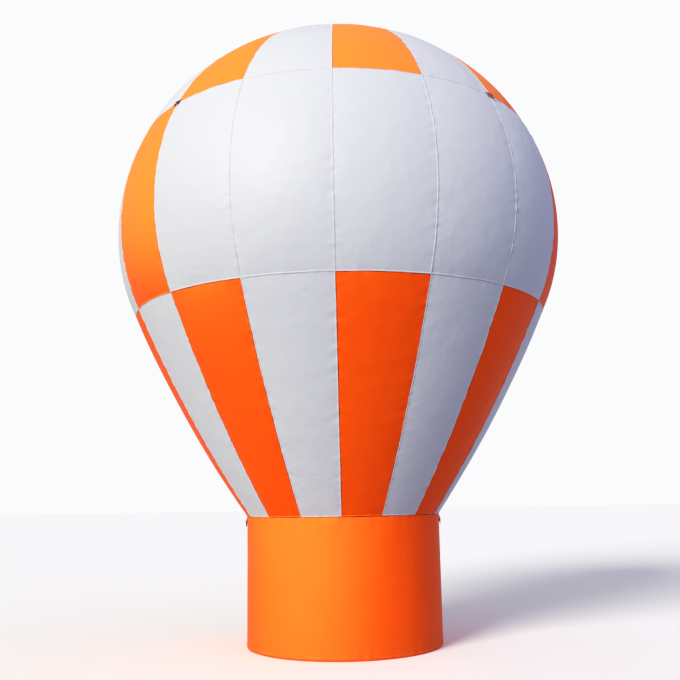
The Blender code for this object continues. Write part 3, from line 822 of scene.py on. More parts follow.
def buildFloor():
    def place(across, up):
        heading = 2 * pi * across
        rim = wallPoint(heading if heading < 1.5 * pi else heading - 2 * pi, base["bottom"])
        reach = hypot(rim.x, rim.y) * (1 - up) ** 0.9
        lift = 0.003 * noise.noise(Vector((sin(heading) * reach * 5, cos(heading) * reach * 5, 60.0)))
        inner = 1 - (1 - up) ** 7
        point = around(reach, heading, base["bottom"] + (0.0025 + lift) * inner)
        return point, (sin(heading) * reach, cos(heading) * reach)

    sole = addGrid("base_floor_cloth", 240, 30, place)
    only(sole)
    bpy.ops.object.mode_set(mode="EDIT")
    bpy.ops.mesh.select_all(action="SELECT")
    bpy.ops.mesh.remove_doubles(threshold=0.0002)
    bpy.ops.mesh.normals_make_consistent(inside=False)
    bpy.ops.object.mode_set(mode="OBJECT")
    downwards = sum(face.normal.z * face.area for face in sole.data.polygons) < 0
    if not downwards:
        bpy.ops.object.mode_set(mode="EDIT")
        bpy.ops.mesh.select_all(action="SELECT")
        bpy.ops.mesh.flip_normals()
        bpy.ops.object.mode_set(mode="OBJECT")
    placeOn(sole, "balloon", clothOf["orange"], "orange_fabric", "base_floor")


buildWalls()
buildFloor()
print("base made")


# Top cap

def capPoint(heading, over):
    # the cap's cloth at a distance in from its rim, which is sewn to the crown gores
    share = usedShare["crown"] + over / arcLength["crown"]
    radius, level, outR, outZ = arcPoint("crown", share)
    height = clothAt("crown", heading, 1.0) * exp(-over / 0.05)
    return around(radius + outR * height, heading, level + outZ * height), radius


def buildTopCap():
    length = arcLength["crown"] * (1 - usedShare["crown"])

    def place(across, up):
        heading = 2 * pi * across
        point, radius = capPoint(heading, length * up * 0.9995)
        return point, (sin(heading) * radius, cos(heading) * radius)

    cap = addGrid("top_cap_cloth", 128, 14, place)
    only(cap)
    bpy.ops.object.mode_set(mode="EDIT")
    bpy.ops.mesh.select_all(action="SELECT")
    bpy.ops.mesh.remove_doubles(threshold=0.0004)
    bpy.ops.object.mode_set(mode="OBJECT")
    placeOn(cap, "balloon", clothOf["orange"], "orange_fabric", "top_cap")


buildTopCap()
print("cap made")


# Seams of the envelope

def seamStrip(name, tier, boundary):
    # folded seam from one level seam to the next, over the valley between two gores
    left = goreColour(tier, boundary - 1)
    right = goreColour(tier, boundary)
    facing = -1 if left == "orange" and right == "white" else 1  # the fold lies on the white side
    fold = "white" if "white" in (left, right) else "orange"
    under = right if facing > 0 else left
    shift = ringNumber[tier] * 11.0

    def place(across, up):
        share = up * usedShare[tier]
        radius, level, outR, outZ = arcPoint(tier, share)
        along = share * arcLength[tier]
        side = across - 0.5
        wander = seam["wander"] * noise.noise(Vector((along * 5, boundary * 3.3, shift)))
        heading = boundaryHeading(boundary) + (side * seam["width"] + wander) / radius
        height = clothAt(tier, heading, up) + lapHeight(side * facing)
        point = around(radius + outR * height, heading, level + outZ * height)
        return point, (side * facing * seam["width"], along)

    strip = addGrid(name, 10, envelope["rows"][tier], place)
    return placeOn(strip, "balloon", seamOf[fold, under], cloths[fold]["slot"])


levelSeams = {
    # name: (tier below, tier above)
    "neck": (None, "lower"), "waist": ("lower", "upper"), "crown": ("upper", "crown"), "cap": ("crown", None),
}


def besideLevel(title, heading, over, lift):
    # the cloth's surface at a distance above a level seam, or below it where that is negative
    below, above = levelSeams[title]
    if over >= 0 and above:
        tier, share = above, over / arcLength[above]
    elif over < 0 and below:
        tier, share = below, usedShare[below] + over / arcLength[below]
    elif over < 0:
        return wallPoint(heading, neck[1] + over, lift)
    else:
        return capPoint(heading, over)[0] + Vector((0.0, 0.0, lift))
    radius, level, outR, outZ = arcPoint(tier, share)
    height = clothAt(tier, heading, share / usedShare[tier]) + lift
    return around(radius + outR * height, heading, level + outZ * height)


def levelSeam(name, title, gore, fold, under):
    # the upper cloth's edge, folded down over the cloth below it, across one gore
    columns = envelope["columns"]
    ring = list(levelSeams).index(title)
    tier = levelSeams[title][1] or levelSeams[title][0]
    radius = arcPoint(tier, 0.0 if levelSeams[title][1] else usedShare[tier])[0]

    def place(across, over):
        heading = boundaryHeading(gore + crowd(across))
        side = 0.5 - over  # the crease is below
        wander = seam["wander"] * noise.noise(Vector((sin(heading) * 9, cos(heading) * 9, ring)))
        point = besideLevel(title, heading, wander - side * seam["width"], lapHeight(side))
        return point, (side * seam["width"], heading * radius)

    strip = addGrid(name, columns, 10, place)
    return placeOn(strip, "balloon", seamOf[fold, under], cloths[fold]["slot"])


def buildSeams():
    for boundary in range(envelope["gores"]):
        for tier in ringNumber:
            seamStrip(f"seam_{tier}_{boundary:02d}", tier, boundary)
        for title, (below, above) in levelSeams.items():
            fold = goreColour(above, boundary) if above else "orange"
            under = goreColour(below, boundary) if below else "orange"
            levelSeam(f"seam_{title}_{boundary:02d}", title, boundary, fold, under)


buildSeams()
print("seams made")


# Access door

def tapeStrip(name, start, end, width, lift):
    # flat tape that is a little thicker in its middle
    return wallStrip(name, start, end, width, lambda side: lift + door["tapeCrown"] * (1 - 4 * side ** 2))


def buildLeaf():
    columns = spread((door["start"], door["end"]), base["cell"] / baseRadius)
    rows = spread((door["low"], door["high"]), base["cell"])

    def place(across, up):
        heading = columns[round(across * (len(columns) - 1))]
        level = rows[round(up * (len(rows) - 1))]
        crown = 0.006 * (4 * across * (1 - across) * 4 * up * (1 - up)) ** 0.7
        ripple = 0.0035 * noise.noise(Vector((heading * 9, level * 2.5, 70.0)))
        return wallPoint(heading, level, crown + ripple), (heading * baseRadius, level)

    leaf = addGrid("access_door_cloth", len(columns) - 1, len(rows) - 1, place)
    wall = leaf.modifiers.new("clothThickness", "SOLIDIFY")
    wall.thickness = 0.0016
    wall.offset = -1
    applyModifiers(leaf)
    placeOn(leaf, "door", clothOf["orange"], "orange_fabric", "access_door")

    deselectAll()
    bpy.ops.mesh.primitive_cylinder_add(
        vertices=20, radius=0.0058, depth=door["high"] - door["low"] - 0.004,
        location=(hingePoint.x, hingePoint.y, (door["high"] + door["low"]) / 2),
    )
    hem = bpy.context.object
    hem.name = "door_hem"
    only(hem)
    bpy.ops.object.mode_set(mode="EDIT")
    bpy.ops.mesh.select_all(action="DESELECT")
    bpy.ops.object.mode_set(mode="OBJECT")
    for face in hem.data.polygons:
        face.select = abs(face.normal.z) < 0.5
    bpy.ops.object.mode_set(mode="EDIT")
    bpy.ops.mesh.subdivide(number_cuts=2)
    bpy.ops.object.mode_set(mode="OBJECT")
    settle(hem)
    for corner in hem.data.vertices:
        swell = 1 + 0.10 * noise.noise(Vector((corner.co.z * 30, 0.0, 80.0)))
        spot = Vector((corner.co.x - hingePoint.x, corner.co.y - hingePoint.y)) * swell
        corner.co.x, corner.co.y = hingePoint.x + spot.x, hingePoint.y + spot.y
    bevelEdges(hem, 0.002)
    placeOn(hem, "door", clothOf["orange"], "orange_fabric")


def buildZip():
    # binding tape, zip tape, teeth, slider and pull along the leaf's three free edges
    low, high = door["low"], door["high"]
    start = door["start"] + 0.012 / baseRadius
    end = door["end"]
    edges = (
        # name, first point, last point, way out of the leaf in (across, up)
        ("bottom", (start, low), (end, low), (0, -1)),
        ("side", (end, low), (end, high), (1, 0)),
        ("top", (start, high), (end, high), (0, 1)),
    )
    sides = (
        # body, name, edge's distance from the leaf's, way from it, heights, teeth's distance, first tooth
        ("door", "door", 0.0, -1, door["leafTape"], door["gap"] / 2 - 0.0022, 0.25),
        ("balloon", "wall", door["gap"], 1, door["wallTape"], door["gap"] / 2 + 0.0022, 0.75),
    )
    for body, title, edge, way, (zipLift, bindingLift), toothPlace, firstTooth in sides:
        places = []
        for edgeName, first, last, out in edges:
            def shifted(distance):
                return [
                    (point[0] + out[0] * distance / baseRadius, point[1] + out[1] * distance)
                    for point in (first, last)
                ]

            zipMiddle = edge + way * (door["zipTape"] / 2 + 0.0005)
            bindingMiddle = edge + way * (door["zipTape"] + door["tape"] * 0.4)
            tape = tapeStrip(f"{title}_zip_tape_{edgeName}", *shifted(zipMiddle), door["zipTape"], zipLift)
            placeOn(tape, body, zipNylon, "grey_plastic")
            binding = tapeStrip(f"{title}_binding_{edgeName}", *shifted(bindingMiddle), door["tape"], bindingLift)
            placeOn(binding, body, orangeTape, "orange_fabric")
            (startX, startY), (endX, endY) = shifted(toothPlace)
            count = int(hypot((endX - startX) * baseRadius, endY - startY) / door["toothPitch"])
            for number in range(count):
                part = (number + firstTooth) / count
                places.append(((startX + (endX - startX) * part, startY + (endY - startY) * part), out))
        placeTeeth(f"{body}_zip_teeth", body, places)
    buildSlider()


def placeTeeth(name, body, places):
    # one moulded tooth, copied along the edge
    deselectAll()
    bpy.ops.mesh.primitive_cube_add(size=1)
    tooth = bpy.context.object
    bpy.ops.transform.resize(value=(0.0040, 0.0026, 0.0026))
    bpy.ops.object.transform_apply(location=False, rotation=False, scale=True)
    copies = []
    for (heading, level), out in places:
        copy = tooth.copy()
        copy.data = tooth.data.copy()
        bpy.context.collection.objects.link(copy)
        across, up = alongWall(heading), Vector((0.0, 0.0, 1.0))
        reach = across * out[0] + up * out[1]
        turn = Matrix((reach, outward(heading).cross(reach), outward(heading))).transposed()
        place = wallPoint(heading, level, 0.0050 if body == "door" else 0.0020)
        copy.data.transform(Matrix.Translation(place) @ turn.to_4x4())
        copies.append(copy)
    bpy.data.objects.remove(tooth)
    placeOn(joinPieces(name, copies), body, zipNylon, "grey_plastic")


def frameAt(heading, level, lift=0.0):
    # X along the wall, Y up, Z out of it
    axes = Matrix((alongWall(heading), Vector((0.0, 0.0, 1.0)), outward(heading))).transposed()
    return Matrix.Translation(wallPoint(heading, level, lift)) @ axes.to_4x4()


def addBox(name, size, middle, bevel=0.0015):
    # a block with rounded edges, in its own frame
    deselectAll()
    bpy.ops.mesh.primitive_cube_add(size=1)
    block = bpy.context.object
    block.name = name
    bpy.ops.transform.resize(value=size)
    bpy.ops.transform.translate(value=middle)
    bpy.ops.object.transform_apply(location=True, rotation=False, scale=True)
    bevelEdges(block, bevel, 2)
    return block


def addRing(name, ringRadius, wire, middle, axis="Z", steps=48, sides=12):
    deselectAll()
    bpy.ops.mesh.primitive_torus_add(
        major_radius=ringRadius, minor_radius=wire, major_segments=steps, minor_segments=sides,
    )
    ring = bpy.context.object
    ring.name = name
    turn = {"X": Matrix.Rotation(pi / 2, 4, "Y"), "Y": Matrix.Rotation(pi / 2, 4, "X"), "Z": Matrix()}
    ring.data.transform(Matrix.Translation(middle) @ turn[axis])
    ring.data.shade_smooth()
    return ring


def buildSlider():
    # slider at the top of the side run, with a cord pull hanging from it
    place = frameAt(door["end"] + door["gap"] / 2 / baseRadius, door["high"] - 0.10, 0.0066)
    body = addBox("slider_body", (0.013, 0.022, 0.006), (0.0, 0.0, 0.002), 0.0018)
    bridge = addRing("slider_bridge", 0.004, 0.0012, (0.0, 0.0, 0.005), "X", 24, 8)
    tab = addBox("slider_tab", (0.009, 0.034, 0.002), (0.0, -0.021, 0.007), 0.0008)
    slider = joinPieces("door_zip_slider", [body, bridge, tab])
    slider.data.transform(place)
    placeOn(slider, "balloon", platedSteel, "steel")
    pull = addBox("door_zip_pull", (0.012, 0.070, 0.0025), (0.0, -0.072, 0.0075), 0.001)
    pull.data.transform(place)
    placeOn(pull, "balloon", darkWebbing, "webbing")


def buildDoorHandle():
    # webbing grab loop near the leaf's free edge
    level = (door["low"] + door["high"]) / 2
    heading = door["end"] - 0.085 / baseRadius

    def place(across, up):
        along = (up - 0.5) * 0.17
        bow = max(0.0, 1 - (along / 0.062) ** 2)
        lift = 0.0085 + 0.022 * bow ** 0.8
        point = wallPoint(heading + (across - 0.5) * 0.026 / baseRadius, level + along, lift)
        return point, ((across - 0.5) * 0.026, along)

    handle = addGrid("door_handle", 4, 40, place)
    web = handle.modifiers.new("webThickness", "SOLIDIFY")
    web.thickness = 0.0022
    web.offset = 1
    applyModifiers(handle)
    placeOn(handle, "door", darkWebbing, "webbing")


buildLeaf()
buildZip()
buildDoorHandle()
print("door made")


# Fan, seen from behind through its guard

fanFrame = (
    Matrix.Translation((0.0, 0.0, fanPlace["height"]))
    @ Matrix.Rotation(fanPlace["heading"] - pi / 2, 4, "Z") @ Matrix.Rotation(pi / 2, 4, "Y")
)
fan = {
    "ductRadius": 0.180,
    "ductWall": 0.008,
    "ductStart": 0.600,
    "flangeBack": 0.9205,
    "flangeRadius": 0.206,
    "flangeThickness": 0.006,
    "bolts": 8,
    "guardRings": (0.040, 0.058, 0.075, 0.093, 0.112, 0.130, 0.149, 0.168, 0.186),
    "guardWire": 0.0022,
    "spokes": 6,
    "motorRadius": 0.055,
    "motorStart": 0.640,
    "motorLength": 0.130,
    "shaftEnd": 0.828,
    "hubRadius": 0.050,
    "hubStart": 0.776,
    "hubLength": 0.075,
    "bladeTip": 0.165,
    "blades": 6,
}


def turnedPiece(name, rings, steps=96):
    # a circle drawn out from ring to ring along its axis, then closed
    radius, level = rings[0]
    deselectAll()
    bpy.ops.mesh.primitive_circle_add(vertices=steps, radius=radius, location=(0.0, 0.0, level))
    piece = bpy.context.object
    piece.name = name
    bpy.ops.object.transform_apply(location=True, rotation=False, scale=False)
    bpy.ops.object.mode_set(mode="EDIT")
    bpy.ops.mesh.select_mode(type="VERT")
    bpy.ops.mesh.select_all(action="SELECT")
    for nextRadius, nextLevel in rings[1:]:
        scale = nextRadius / radius
        bpy.ops.mesh.extrude_region_move(TRANSFORM_OT_translate={"value": (0, 0, nextLevel - level)})
        bpy.ops.transform.resize(value=(scale, scale, 1.0), center_override=(0.0, 0.0, nextLevel))
        radius, level = nextRadius, nextLevel
    bpy.ops.mesh.select_all(action="SELECT")
    bpy.ops.mesh.remove_doubles(threshold=0.00005)
    bpy.ops.mesh.fill_holes(sides=0)
    bpy.ops.mesh.select_all(action="SELECT")
    bpy.ops.mesh.normals_make_consistent(inside=False)
    bpy.ops.object.mode_set(mode="OBJECT")
    return piece


def inFanFrame(piece, body, material, slot, *nodes):
    piece.data.transform(fanFrame)
    return placeOn(piece, body, material, slot, *nodes)


def addBolt(place, size, height):
    # hexagon head with a rounded top, standing along Z
    deselectAll()
    bpy.ops.mesh.primitive_cylinder_add(vertices=6, radius=size, depth=height)
    bolt = bpy.context.object
    bolt.data.transform(Matrix.Translation((0.0, 0.0, height / 2)))
    bevelEdges(bolt, size * 0.12, 2)
    bolt.data.transform(place)
    return bolt


def buildDuct():
    inner = fan["ductRadius"] - fan["ductWall"]
    front = fan["flangeBack"] + fan["flangeThickness"]
    lip = 0.003
    duct = turnedPiece("fan_duct_body", [
        (inner, fan["ductStart"]), (fan["ductRadius"], fan["ductStart"]),
        (fan["ductRadius"], fan["ductStart"] + 0.03), (fan["ductRadius"] - lip, fan["ductStart"] + 0.034),
        (fan["ductRadius"] - lip, fan["flangeBack"] - 0.02), (fan["ductRadius"], fan["flangeBack"] - 0.016),
        (fan["ductRadius"], fan["flangeBack"]), (fan["flangeRadius"], fan["flangeBack"]),
        (fan["flangeRadius"], front), (inner + 0.012, front), (inner + 0.004, front - 0.002),
        (inner, front - 0.010), (inner, fan["ductStart"]),
    ], 128)
    bevelEdges(duct, 0.0012, 2)
    inFanFrame(duct, "balloon", greyPlastic, "grey_plastic", "fan_duct")
    bolts = []
    for number in range(fan["bolts"]):
        turn = Matrix.Rotation((number + 0.5) * 2 * pi / fan["bolts"], 4, "Z")
        bolts.append(addBolt(turn @ Matrix.Translation((0.1965, 0.0, front)), 0.0055, 0.0042))
    inFanFrame(joinPieces("flange_bolts", bolts), "balloon", platedSteel, "steel")


def buildGuard():
    level = fan["flangeBack"] + fan["flangeThickness"] + 0.0003 + fan["guardWire"]
    parts = [
        addRing("guard_ring", radius, fan["guardWire"], (0.0, 0.0, level), "Z", 72, 8)
        for radius in fan["guardRings"]
    ]
    boss = turnedPiece("guard_boss", [
        (0.002, level - 0.0018), (0.022, level - 0.0018), (0.022, level + 0.001), (0.018, level + 0.0030),
        (0.002, level + 0.0034), (0.002, level - 0.0018),
    ], 40)
    boss.data.shade_smooth()
    parts.append(boss)
    for number in range(fan["spokes"]):
        deselectAll()
        rim = fan["guardRings"][-1]
        bpy.ops.mesh.primitive_cylinder_add(vertices=10, radius=fan["guardWire"] * 1.1, depth=rim - 0.016)
        spoke = bpy.context.object
        out = Matrix.Translation(((rim + 0.016) / 2, 0.0, level + 0.0004))
        turn = Matrix.Rotation(radians(number * 60 + 3), 4, "Z") @ out @ Matrix.Rotation(pi / 2, 4, "Y")
        spoke.data.transform(turn)
        smoothEdges(spoke, 40)
        parts.append(spoke)
    inFanFrame(joinPieces("fan_guard_wires", parts), "balloon", platedSteel, "steel", "fan_guard")


def buildMotor():
    end = fan["motorStart"] + fan["motorLength"]
    radius = fan["motorRadius"]
    rings = [(0.002, fan["motorStart"]), (radius * 0.8, fan["motorStart"]), (radius * 0.9, fan["motorStart"] + 0.006)]
    for number in range(9):
        level = fan["motorStart"] + 0.014 + number * 0.0115
        rings += [
            (radius * 0.90, level), (radius, level + 0.0015),
            (radius, level + 0.0045), (radius * 0.90, level + 0.0060),
        ]
    rings += [
        (radius * 0.9, end - 0.008), (radius * 0.75, end), (0.010, end),
        (0.010, fan["shaftEnd"] - 0.002), (0.009, fan["shaftEnd"]), (0.002, fan["shaftEnd"]),
    ]
    motor = turnedPiece("motor_body", rings, 64)
    smoothEdges(motor, 40)
    parts = [motor, addBox("motor_box", (0.014, 0.046, 0.060), (-radius - 0.004, 0.0, fan["motorStart"] + 0.065), 0.003)]
    inner = fan["ductRadius"] - fan["ductWall"] - 0.0008
    for number in range(3):
        arm = addBox("motor_arm", (inner - radius + 0.006, 0.008, 0.030), (
            (inner + radius) / 2 - 0.003, 0.0, fan["motorStart"] + 0.035,
        ), 0.0015)
        foot = addBox("motor_foot", (0.005, 0.034, 0.036), (inner - 0.0035, 0.0, fan["motorStart"] + 0.035), 0.0015)
        for piece in (arm, foot):
            piece.data.transform(Matrix.Rotation(number * 2 * pi / 3, 4, "Z"))
            parts.append(piece)
    inFanFrame(joinPieces("fan_motor_body", parts), "balloon", blackPaint, "black_paint", "fan_motor")


def buildImpeller():
    start = fan["hubStart"]
    end = start + fan["hubLength"]
    radius = fan["hubRadius"]
    hub = turnedPiece("hub", [
        (0.0105, start), (radius - 0.002, start), (radius, start + 0.003), (radius, end - 0.020),
        (radius * 0.93, end - 0.010), (radius * 0.72, end - 0.0035), (radius * 0.35, end - 0.0008),
        (0.003, end), (0.003, fan["shaftEnd"] + 0.002), (0.0105, fan["shaftEnd"] + 0.002), (0.0105, start),
    ], 64)
    smoothEdges(hub, 35)
    parts = [hub]
    for number in range(fan["blades"]):
        turn = Matrix.Rotation(number * 2 * pi / fan["blades"], 4, "Z")

        def place(along, over):
            reach = radius - 0.004 + (fan["bladeTip"] - 0.001 - radius + 0.004) * along
            twist = radians(42 - 18 * along)
            chord = 0.052 + 0.026 * along
            tipRound = 1 - 0.18 * max(0.0, along - 0.75) / 0.25 * abs(2 * over - 1) ** 3
            offset = (over - 0.5) * chord * tipRound
            bow = 0.006 * (1 - (2 * over - 1) ** 2)
            swing = offset * cos(twist) + bow * sin(twist)
            rise = -offset * sin(twist) + bow * cos(twist)
            middle = start + fan["hubLength"] * 0.46
            point = turn @ Vector((reach * cos(swing / reach), reach * sin(swing / reach), middle + rise))
            return point, (reach, offset)

        blade = addGrid("blade", 18, 12, place)
        wall = blade.modifiers.new("bladeThickness", "SOLIDIFY")
        wall.thickness = 0.0026
        wall.offset = 0
        applyModifiers(blade)
        bevelEdges(blade, 0.0006, 2, 60)
        parts.append(blade)
    inFanFrame(joinPieces("fan_impeller_body", parts), "impeller", greyPlastic, "grey_plastic", "fan_impeller")


def buildStandAndGland():
    stand = frame["nodes"]["fan_stand"]
    stand.data.materials.clear()
    stand.data.materials.append(platedSteel)
    low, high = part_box("fan_stand")
    top = low.z + 0.006
    bolts = [
        addBolt(Matrix.Translation((x, y, top)), 0.007, 0.005)
        for x in (low.x + 0.018, high.x - 0.018) for y in (low.y + 0.010, high.y - 0.010)
    ]
    placeOn(joinPieces("stand_bolts", bolts), "balloon", platedSteel, "steel")

    wall = baseRadius + 0.0006
    gland = turnedPiece("gland_body", [
        (0.006, wall - 0.0206), (0.0115, wall - 0.0206), (0.012, wall - 0.020), (0.012, wall),
        (0.019, wall), (0.019, wall + 0.0075), (0.0165, wall + 0.0085), (0.0165, wall + 0.0100),
        (0.0155, wall + 0.0165), (0.0125, wall + 0.0200), (0.0095, wall + 0.0214),
        (0.0062, wall + 0.0214), (0.006, wall + 0.0200), (0.006, wall - 0.0206),
    ], 48)
    bevelEdges(gland, 0.0004, 2, 30)
    place = Matrix.Translation((0.0, 0.0, fanPlace["glandHeight"] - fanPlace["height"])) @ fanFrame
    gland.data.transform(place)
    placeOn(gland, "balloon", greyPlastic, "grey_plastic", "cable_gland")
    deselectAll()
    bpy.ops.mesh.primitive_cylinder_add(vertices=6, radius=0.0188, depth=0.0066)
    nut = bpy.context.object
    nut.name = "gland_nut"
    nut.data.transform(place @ Matrix.Translation((0.0, 0.0, wall + 0.0118)))
    bevelEdges(nut, 0.0008, 2)
    placeOn(nut, "balloon", greyPlastic, "grey_plastic")


buildDuct()
buildGuard()
buildMotor()
buildImpeller()
buildStandAndGland()
print("fan made")


# Tie points

tie = {
    "width": 0.088,
    "length": 0.058,
    "corner": 0.012,
    "thickness": 0.0030,
    "ringRadius": 0.024,
    "ringWire": 0.0039,
    "strap": 0.028,
}


def patchPiece(name, surface, width, length, lift):
    # webbing patch with round corners on the cloth, thicker at its hemmed edge
    corner = tie["corner"]

    def place(across, up):
        x = (across - 0.5) * width
        y = (up - 0.5) * length
        overX = max(0.0, abs(x) - (width / 2 - corner))
        overY = max(0.0, abs(y) - (length / 2 - corner))
        over = hypot(overX, overY)
        if overX and overY and over > 0:
            pull = max(overX, overY) / over
            x -= (overX - overX * pull) * (1 if x > 0 else -1)
            y -= (overY - overY * pull) * (1 if y > 0 else -1)
        edge = max(abs(x) * 2 / width, abs(y) * 2 / length)
        hem = 0.0009 if edge > 0.86 else 0.0
        return surface(x, y, lift + hem), (x, y)

    patch = addGrid(name, 30, 22, place)
    web = patch.modifiers.new("patchThickness", "SOLIDIFY")
    web.thickness = tie["thickness"]
    web.offset = 1
    applyModifiers(patch)
    smoothEdges(patch, 50)
    return patch


def stitchRows(name, surface, width, length, lift):
    # thread round the patch's edge and in a cross behind the strap
    inset = 0.007
    x, y = width / 2 - inset, length / 2 - inset
    corners = [(-x, -y), (x, -y), (x, y), (-x, y), (-x, -y)]
    runs = list(zip(corners, corners[1:])) + [((-x, -y), (-0.012, -0.008)), ((x, -y), (0.012, -0.008))]
    stitches = []
    deselectAll()
    bpy.ops.mesh.primitive_cylinder_add(vertices=6, radius=0.0005, depth=0.0032)
    unit = bpy.context.object
    for first, last in runs:
        run = hypot(last[0] - first[0], last[1] - first[1])
        count = int(run / 0.0048)
        for number in range(count):
            part = (number + 0.5) / count
            here = [first[i] + (last[i] - first[i]) * part for i in (0, 1)]
            ahead = [first[i] + (last[i] - first[i]) * (part + 0.01) for i in (0, 1)]
            spot = surface(*here, lift)
            way = (surface(*ahead, lift) - spot).normalized()
            copy = unit.copy()
            copy.data = unit.data.copy()
            bpy.context.collection.objects.link(copy)
            copy.data.transform(Matrix.Translation(spot) @ way.to_track_quat("Z", "Y").to_matrix().to_4x4())
            stitches.append(copy)
    bpy.data.objects.remove(unit)
    return joinPieces(name, stitches)


def strapPiece(name, frameHere):
    # webbing doubled round the ring's wire and sewn to the patch, in the tie's own frame
    wire = tie["ringWire"]
    level = tie["ringWire"] + 0.0014
    wrap = wire + 0.0012
    outline = [(0.021, 0.0008), (0.012, 0.0014), (0.006, level + wrap * 0.6)]
    outline += [(-wrap * sin(radians(a)), level + wrap * cos(radians(a))) for a in range(-30, 181, 15)]
    outline += [(0.006, 0.0004), (0.014, 0.0002)]

    def place(across, up):
        spot = up * (len(outline) - 1)
        step = min(int(spot), len(outline) - 2)
        part = spot - step
        y = outline[step][0] * (1 - part) + outline[step + 1][0] * part
        z = outline[step][1] * (1 - part) + outline[step + 1][1] * part
        x = (across - 0.5) * tie["strap"]
        return frameHere @ Vector((x, y, z)), (x, up * 0.06)

    strap = addGrid(name, 8, len(outline) - 1, place)
    web = strap.modifiers.new("strapThickness", "SOLIDIFY")
    web.thickness = 0.0014
    web.offset = 0
    applyModifiers(strap)
    smoothEdges(strap, 50)
    return strap


def tiePoint(node, surface, frameHere, lift):
    # frameHere, on the patch's face: X across, Y up from the ring's top, Z out of the cloth
    width, length = tie["width"], tie["length"]
    patch = patchPiece(f"{node}_patch", surface, width, length, lift)
    placeOn(patch, "balloon", darkWebbing, "webbing", node)
    thread = stitchRows(f"{node}_thread", surface, width, length, lift + tie["thickness"] + 0.0006)
    placeOn(thread, "balloon", orangeTape, "orange_fabric")
    strap = strapPiece(f"{node}_strap", frameHere)
    placeOn(strap, "balloon", darkWebbing, "webbing")
    centre = (0.0, -tie["ringRadius"], tie["ringWire"] + 0.0012)
    ring = addRing(f"{node}_wire", tie["ringRadius"], tie["ringWire"], centre, "Z", 56, 14)
    ring.data.transform(frameHere)
    placeOn(ring, "balloon", dullSteel, "steel")


def tieFrame(foot, heading, outR, outZ):
    across = alongWall(heading)
    out = outward(heading) * outR + Vector((0.0, 0.0, outZ))
    return Matrix.Translation(foot) @ Matrix((across, out.cross(across), out)).transposed().to_4x4()


def buildCrownTies():
    for number, boundary in enumerate((1, 5, 9, 13)):
        heading = boundaryHeading(boundary)
        radius, level, outR, outZ = arcPoint("upper", 1.0)

        def surface(x, y, lift):
            return besideLevel("crown", heading + x / radius, y, lift)

        out = outward(heading) * outR + Vector((0.0, 0.0, outZ))
        foot = around(radius, heading, level) + out * (tie["thickness"] + 0.0032)
        tiePoint(f"crown_tie_{number}", surface, tieFrame(foot, heading, outR, outZ), 0.0012)


def buildNeckTies():
    for number, heading in enumerate((radians(-86.25), radians(86.25))):
        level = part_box(f"neck_tie_{number}")[1].z - 0.030

        def surface(x, y, lift):
            return wallPoint(heading + x / baseRadius, level + y, lift)

        foot = surface(0.0, 0.0, tie["thickness"] + 0.0024)
        tiePoint(f"neck_tie_{number}", surface, tieFrame(foot, heading, 1.0, 0.0), 0.0012)


buildCrownTies()
buildNeckTies()
print("tie points made")


# Light, floor and camera

studio = {
    "keyAim": (0.0, 0.0, 3.2),
    "keyHeading": -35.0,
    "keyHeight": 25.0,
    "keyDistance": 12.0,
    "keySoftness": 24.0,
    "keyPower": 3.95,
    "leftAir": (0.44, 0.44, 0.455),
    "rightAir": (0.57, 0.59, 0.90),
    "lowAir": 0.75,  # share of the air's light that comes from below
    "shownAir": (0.955, 0.96, 0.97),
    "contrast": ((0.03, 0.014), (0.10, 0.070), (0.30, 0.285), (0.60, 0.63)),
    "floorSize": 160.0,
    "floorColour": (0.93, 0.91, 0.84),
}


def aimAt(thing, target):
    direction = Vector(target) - thing.location
    thing.rotation_euler = direction.to_track_quat("-Z", "Y").to_euler()


def lightPlace(heading, height, distance):
    level = distance * cos(radians(height))
    return around(level, radians(heading), studio["keyAim"][2] + distance * sin(radians(height)))


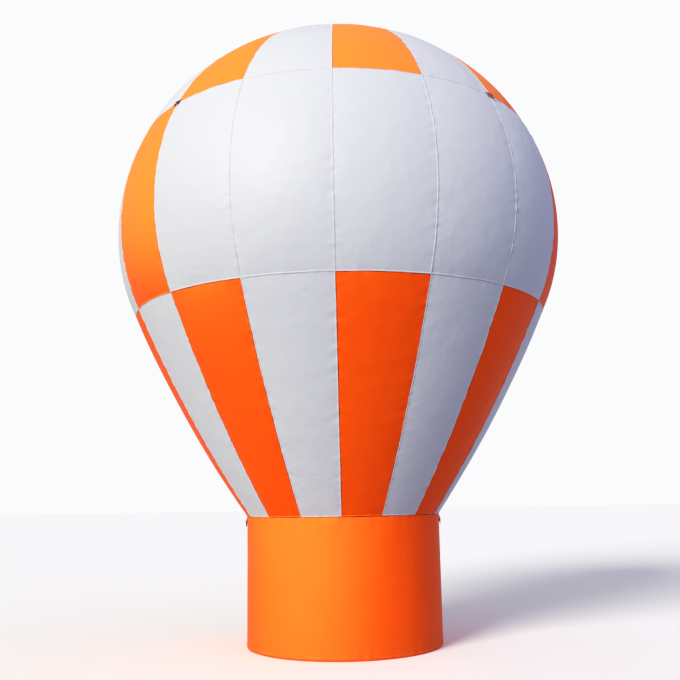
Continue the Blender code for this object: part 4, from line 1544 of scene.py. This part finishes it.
def buildAir():
    # light from all round, cooler from the right and weaker from below, with a plain pale backdrop
    world = bpy.data.worlds.new("studioAir")
    bpy.context.scene.world = world
    world.use_nodes = True
    nodes, links = world.node_tree.nodes, world.node_tree.links
    glow = nodes["Background"]
    direction = nodeAt(nodes, "ShaderNodeTexCoord")
    parts = nodeAt(nodes, "ShaderNodeSeparateXYZ")
    links.new(direction.outputs["Generated"], parts.inputs[0])
    toRight = nodeAt(nodes, "ShaderNodeMapRange", interpolation_type="SMOOTHSTEP")
    toRight.inputs["From Min"].default_value = -0.5
    links.new(parts.outputs["X"], toRight.inputs["Value"])
    sides = mixColour(nodes, links, toRight.outputs[0], studio["leftAir"], studio["rightAir"])
    upwards = nodeAt(nodes, "ShaderNodeMapRange")
    upwards.inputs["From Min"].default_value = -0.3
    upwards.inputs["From Max"].default_value = 0.3
    upwards.inputs["To Min"].default_value = studio["lowAir"]
    links.new(parts.outputs["Z"], upwards.inputs["Value"])
    links.new(sides, glow.inputs["Color"])
    links.new(upwards.outputs[0], glow.inputs["Strength"])
    shown = nodeAt(nodes, "ShaderNodeBackground")
    shown.inputs["Color"].default_value = (*studio["shownAir"], 1.0)
    path = nodeAt(nodes, "ShaderNodeLightPath")
    mix = nodeAt(nodes, "ShaderNodeMixShader")
    links.new(path.outputs["Is Camera Ray"], mix.inputs[0])
    links.new(glow.outputs[0], mix.inputs[1])
    links.new(shown.outputs[0], mix.inputs[2])
    links.new(mix.outputs[0], nodes["World Output"].inputs["Surface"])


def buildStudio():
    deselectAll()
    place = lightPlace(studio["keyHeading"], studio["keyHeight"], studio["keyDistance"])
    bpy.ops.object.light_add(type="SUN", location=place)
    key = bpy.context.object
    key.name = "keyLight"
    key.data.angle = radians(studio["keySoftness"])
    key.data.energy = studio["keyPower"]
    key.data.color = (1.0, 0.99, 0.97)
    aimAt(key, studio["keyAim"])
    buildAir()
    deselectAll()
    bpy.ops.mesh.primitive_plane_add(size=studio["floorSize"])
    ground = bpy.context.object
    ground.name = "studio_floor"
    ground.visible_diffuse = False  # its bounce is in the air's light
    material, nodes, links, shader = newMaterial("paleFloor", Roughness=0.9)
    shader.inputs["Base Color"].default_value = (*studio["floorColour"], 1.0)
    ground.data.materials.append(material)
    scene = bpy.context.scene
    scene.view_settings.view_transform = "Standard"
    scene.view_settings.look = "None"
    scene.view_settings.use_curve_mapping = True
    contrast = scene.view_settings.curve_mapping
    for light, shown in studio["contrast"]:
        contrast.curves[3].points.new(light, shown)
    contrast.update()


def buildCamera():
    # where the photograph was taken from: 8.6 m away, at chest height
    distance = 8.578
    bearing = radians(0.82)
    deselectAll()
    bpy.ops.object.camera_add(location=(distance * sin(bearing), -distance * cos(bearing), 1.374))
    camera = bpy.context.object
    turn = Matrix.Rotation(bearing, 4, "Z") @ Matrix.Rotation(radians(90 + 10.162), 4, "X")
    turn = turn @ Matrix.Rotation(radians(-0.998), 4, "Z")
    camera.rotation_euler = turn.to_euler()
    camera.data.sensor_width = 36.0
    camera.data.lens = 46.05
    bpy.context.scene.camera = camera


buildStudio()
buildCamera()
print("studio made")
